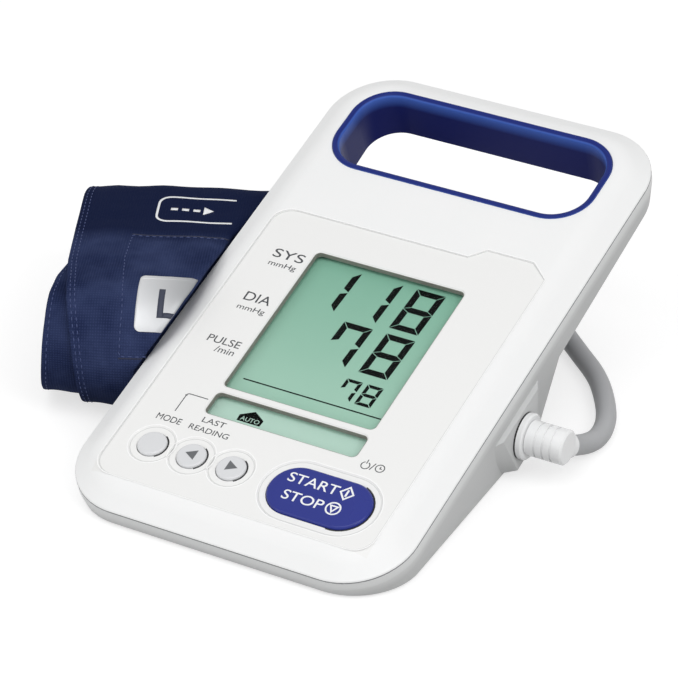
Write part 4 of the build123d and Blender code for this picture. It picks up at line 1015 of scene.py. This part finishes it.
def cuff_bar(a0, a1, w0, w1, step=0.8):
    """Rectangle on the cuff as rows for a patch, with places about step mm apart."""
    down = max(2, int((w1 - w0) / step))
    along = max(2, int((a1 - a0) / step))
    return [[(a0 + (a1 - a0) * k / along, w0 + (w1 - w0) * i / down) for k in range(along + 1)]
            for i in range(down + 1)]


# The size letter L on the label.
LETTER_LEFT, STEM_RIGHT, LETTER_RIGHT = 23.1, 25.2, 30.1
LETTER_LOW, LETTER_TOP, FOOT_TALL = at_angle(49.8), at_angle(78.6), 1.9
LETTER_LIFT, LETTER_THICK = 0.36, 0.2
for name, bar in (
    ("size_letter_stem", cuff_bar(LETTER_LEFT, STEM_RIGHT, LETTER_LOW, LETTER_TOP)),
    ("size_letter_foot", cuff_bar(STEM_RIGHT, LETTER_RIGHT, LETTER_LOW, LETTER_LOW + FOOT_TALL)),
):
    cuff_patch(name, bar, LETTER_LIFT, LETTER_THICK, label_ink)


# Stitches: short thread capsules set along seam lines by geometry nodes.
def stitch_tree():
    """Node tree that lays stitches along a curve."""
    tree = bpy.data.node_groups.new("stitch_row", "GeometryNodeTree")
    tree.interface.new_socket("Seam", in_out="INPUT", socket_type="NodeSocketGeometry")
    sizes = {}
    for label_text, value in (("Pitch", 2.3 * MM), ("Stitch length", 0.7 * MM),
                              ("Thread radius", 0.18 * MM)):
        socket = tree.interface.new_socket(label_text, in_out="INPUT",
                                           socket_type="NodeSocketFloat")
        socket.default_value = value
        sizes[label_text] = socket.identifier
    tree.interface.new_socket("Thread", in_out="INPUT", socket_type="NodeSocketMaterial")
    tree.interface.new_socket("Stitches", in_out="OUTPUT", socket_type="NodeSocketGeometry")
    given = add_node(tree, "NodeGroupInput")
    spots = add_node(tree, "GeometryNodeCurveToPoints",
                     {"Curve": given.outputs["Seam"], "Length": given.outputs["Pitch"]},
                     mode="LENGTH")
    capsule = add_node(tree, "GeometryNodeMeshIcoSphere", {"Radius": 1.0, "Subdivisions": 2})
    size = add_node(tree, "ShaderNodeCombineXYZ",
                    {"X": given.outputs["Thread radius"], "Y": given.outputs["Thread radius"],
                     "Z": given.outputs["Stitch length"]})
    shaped = add_node(tree, "GeometryNodeTransform",
                      {"Geometry": capsule.outputs["Mesh"], "Scale": size.outputs[0]})
    laid = add_node(tree, "GeometryNodeInstanceOnPoints",
                    {"Points": spots.outputs["Points"], "Instance": shaped.outputs[0],
                     "Rotation": spots.outputs["Rotation"]})
    real = add_node(tree, "GeometryNodeRealizeInstances", {"Geometry": laid.outputs[0]})
    coloured = add_node(tree, "GeometryNodeSetMaterial",
                    {"Geometry": real.outputs[0], "Material": given.outputs["Thread"]})
    add_node(tree, "NodeGroupOutput", {"Stitches": coloured.outputs[0]})
    return tree


stitches = stitch_tree()


def sewn(name, seams):
    """Piece of stitches along seam lines given as lists of world points."""
    curve = bpy.data.curves.new(name, "CURVE")
    curve.dimensions = "3D"
    for seam_line in seams:
        spline = curve.splines.new("POLY")
        spline.points.add(len(seam_line) - 1)
        for point, place in zip(spline.points, seam_line):
            point.co = (*place, 1)
    holder = bpy.data.objects.new(name + "_seams", curve)
    bpy.context.scene.collection.objects.link(holder)
    modifier = holder.modifiers.new("stitches", "NODES")
    modifier.node_group = stitches
    for item in stitches.interface.items_tree:
        if item.name == "Thread" and item.in_out == "INPUT":
            modifier[item.identifier] = thread
    bpy.context.view_layer.update()
    ready = holder.evaluated_get(bpy.context.evaluated_depsgraph_get())
    data = bpy.data.meshes.new_from_object(ready)
    bpy.data.objects.remove(holder)
    data.name = name
    return piece(name, data, thread)


def seam_points(t0, t1, inset, count=70):
    """Seam line beside the strip's left edge, from t0 to t1 turns in."""
    line = []
    for i in range(count + 1):
        t = t0 + (t1 - t0) * i / count
        line.append(strip_point(t, strip_edges(t)[0] + inset, 1, THREAD_LIFT))
    return line


sewn("hem_stitches", [seam_points(0.02, 0.9, 1.4), seam_points(0.02, 0.9, 2.9),
                      seam_points(0.98, 1.9, 1.7)])
POCKET_LOW, POCKET_HIGH = at_angle(15.3), on_top(1.1)
POCKET_SEAM = [
    (46.0, POCKET_LOW), (11.25, POCKET_LOW), (11.3, at_angle(25.5)), (11.46, at_angle(55.7)),
    (10.3, at_angle(86.8)), (8.7, on_top(-15.2)), (9.2, POCKET_HIGH), (42.0, POCKET_HIGH),
]
sewn("pocket_stitches", [[on_cloth(a, w, THREAD_LIFT) for a, w in spaced(POCKET_SEAM, 2)]])

INK_LIFT, INK_THICK = 0.12, 0.25


def cuff_ribbon(name, spots, width, material=white_ink, lift=INK_LIFT):
    """Line of ink, or of painted shade, on the cuff along (along, round) places."""
    places = [Vector(p) for p in spaced(spots, 1) + [spots[-1]]]
    rows = []
    for i, p in enumerate(places):
        ahead = (places[min(i + 1, len(places) - 1)] - places[max(i - 1, 0)]).normalized()
        side = Vector((-ahead.y, ahead.x)) * width / 2
        rows.append([tuple(p - side), tuple(p + side)])
    return cuff_patch(name, rows, lift, INK_THICK, material)


# Painted shade in the folds beside the pocket's two long seams.
FOLD_OUT, FOLD_WIDE, FOLD_LIFT = 0.7, 0.5, 0.06
for name, ends, w in (("pocket_crease_shade_low", (42.0, 11.0), POCKET_LOW - FOLD_OUT),
                      ("pocket_crease_shade_high", (9.0, 42.0), POCKET_HIGH + FOLD_OUT)):
    cuff_ribbon(name, [(a, w) for a in ends], FOLD_WIDE, crease_shade, FOLD_LIFT)

# Plain index mark on the top of the cuff: a framed row of dashes and an arrowhead.
MARK_LEFT, MARK_RIGHT, MARK_LOW, MARK_HIGH, MARK_R = 15.5, 42.0, on_top(12), on_top(28), 4.0
MARK_MID, MARK_LINE = on_top(20), 0.8
cuff_ribbon(
    "cuff_mark_frame",
    [(MARK_RIGHT, MARK_LOW)]
    + arc((MARK_LEFT + MARK_R, MARK_LOW + MARK_R), MARK_R, 270, 180, 6)
    + arc((MARK_LEFT + MARK_R, MARK_HIGH - MARK_R), MARK_R, 180, 90, 6)
    + [(MARK_RIGHT, MARK_HIGH)],
    MARK_LINE,
)
DASH_LEFT, DASH_LONG, DASH_WIDE, DASH_STEP = 20.0, 2.4, 1.3, 3.9
for i in range(3):
    start = DASH_LEFT + i * DASH_STEP
    cuff_ribbon(f"cuff_mark_dash_{i}", [(start, MARK_MID), (start + DASH_LONG, MARK_MID)],
                DASH_WIDE)
ARROW_LEFT, ARROW_LONG, ARROW_HALF = 31.4, 3.4, 2.4
cuff_patch("cuff_mark_arrow", [
    [(ARROW_LEFT + k * ARROW_LONG / 6, MARK_MID + side * ARROW_HALF * (1 - k / 6))
     for k in range(7)]
    for side in (-1, -0.5, 0, 0.5, 1)
], INK_LIFT, INK_THICK, white_ink)

# ---------------------------------- floor, light and camera
FLOOR = 4                # half width of the floor in metres
floor_data = bpy.data.meshes.new("floor")
corners = [(FLOOR * x, FLOOR * y, 0) for x, y in ((-1, -1), (1, -1), (1, 1), (-1, 1))]
floor_data.from_pydata(corners, [], [(0, 1, 2, 3)])
floor = bpy.data.objects.new("floor", floor_data)
bpy.context.scene.collection.objects.link(floor)


def seen_rays(tree):
    """Output that is 1 for camera, glossy and transmitted rays."""
    path = add_node(tree, "ShaderNodeLightPath")
    total = add_node(tree, "ShaderNodeMath",
                     {0: path.outputs["Is Camera Ray"], 1: path.outputs["Is Glossy Ray"]},
                     operation="MAXIMUM")
    return add_node(tree, "ShaderNodeMath",
                    {0: total.outputs[0], 1: path.outputs["Is Transmission Ray"]},
                    operation="MAXIMUM").outputs[0]


# White seamless paper: matt, and lifted to white for the eye while it keeps soft shadows.
PAPER_GLOW = 0.66
paper, tree, shader = finish("white_paper", Roughness=0.9, Base_Color=linear("#B4B4B4"),
                             Specular_IOR_Level=0.1, Emission_Color=(1, 1, 1, 1))
glow = add_node(tree, "ShaderNodeMath", {0: seen_rays(tree), 1: PAPER_GLOW},
                operation="MULTIPLY")
wire(shader, Emission_Strength=glow.outputs[0])
floor_data.materials.append(paper)

# The room lights the set softly from all sides, and is plain white where it is seen.
ROOM_LIGHT, ROOM_WHITE = 0.48, 1.0
world = bpy.data.worlds.new("studio")
bpy.context.scene.world = world
world.use_nodes = True
tree = world.node_tree
tree.nodes.clear()
room, white = [add_node(tree, "ShaderNodeBackground", {"Color": (1, 1, 1, 1), "Strength": s})
               for s in (ROOM_LIGHT, ROOM_WHITE)]
both = add_node(tree, "ShaderNodeMixShader", {0: seen_rays(tree), 1: room.outputs[0],
                                              2: white.outputs[0]})
add_node(tree, "ShaderNodeOutputWorld", {"Surface": both.outputs[0]})


def softbox(name, place, size, watts, aim=(0.02, 0.0, 0.03)):
    """Square area lamp aimed at a point."""
    lamp = bpy.data.lights.new(name, "AREA")
    lamp.energy = watts
    lamp.size = size
    holder = bpy.data.objects.new(name, lamp)
    bpy.context.scene.collection.objects.link(holder)
    holder.location = place
    holder.rotation_euler = (Vector(aim) - Vector(place)).to_track_quat("-Z", "Y").to_euler()


softbox("top_softbox", (0.15, -0.7, 1.3), 1.1, 7.1)
softbox("right_softbox", (0.95, -0.35, 0.95), 0.7, 4.7)
softbox("front_softbox", (-0.75, -1.1, 0.45), 0.7, 2.5)

# A long lens from above the front right. The camera's place is in millimetres.
CAMERA_PLACE = (527.26, -882.9, 619.1)
RIGHT = Vector((0.8684, 0.4958, 0.001)).normalized()
AHEAD = Vector((-0.4277, 0.7501, -0.5043)).normalized()
UP = RIGHT.cross(AHEAD).normalized()
camera_data = bpy.data.cameras.new("camera")
camera_data.sensor_width = 36.0
camera_data.lens = 186.15
camera_data.clip_end = 20.0
camera = bpy.data.objects.new("camera", camera_data)
bpy.context.scene.collection.objects.link(camera)
turned = Matrix((RIGHT, UP, -AHEAD)).transposed().to_4x4()
camera.matrix_world = Matrix.Translation(Vector(CAMERA_PLACE) * MM) @ turned
bpy.context.scene.camera = camera
bpy.context.scene.view_settings.view_transform = "Standard"
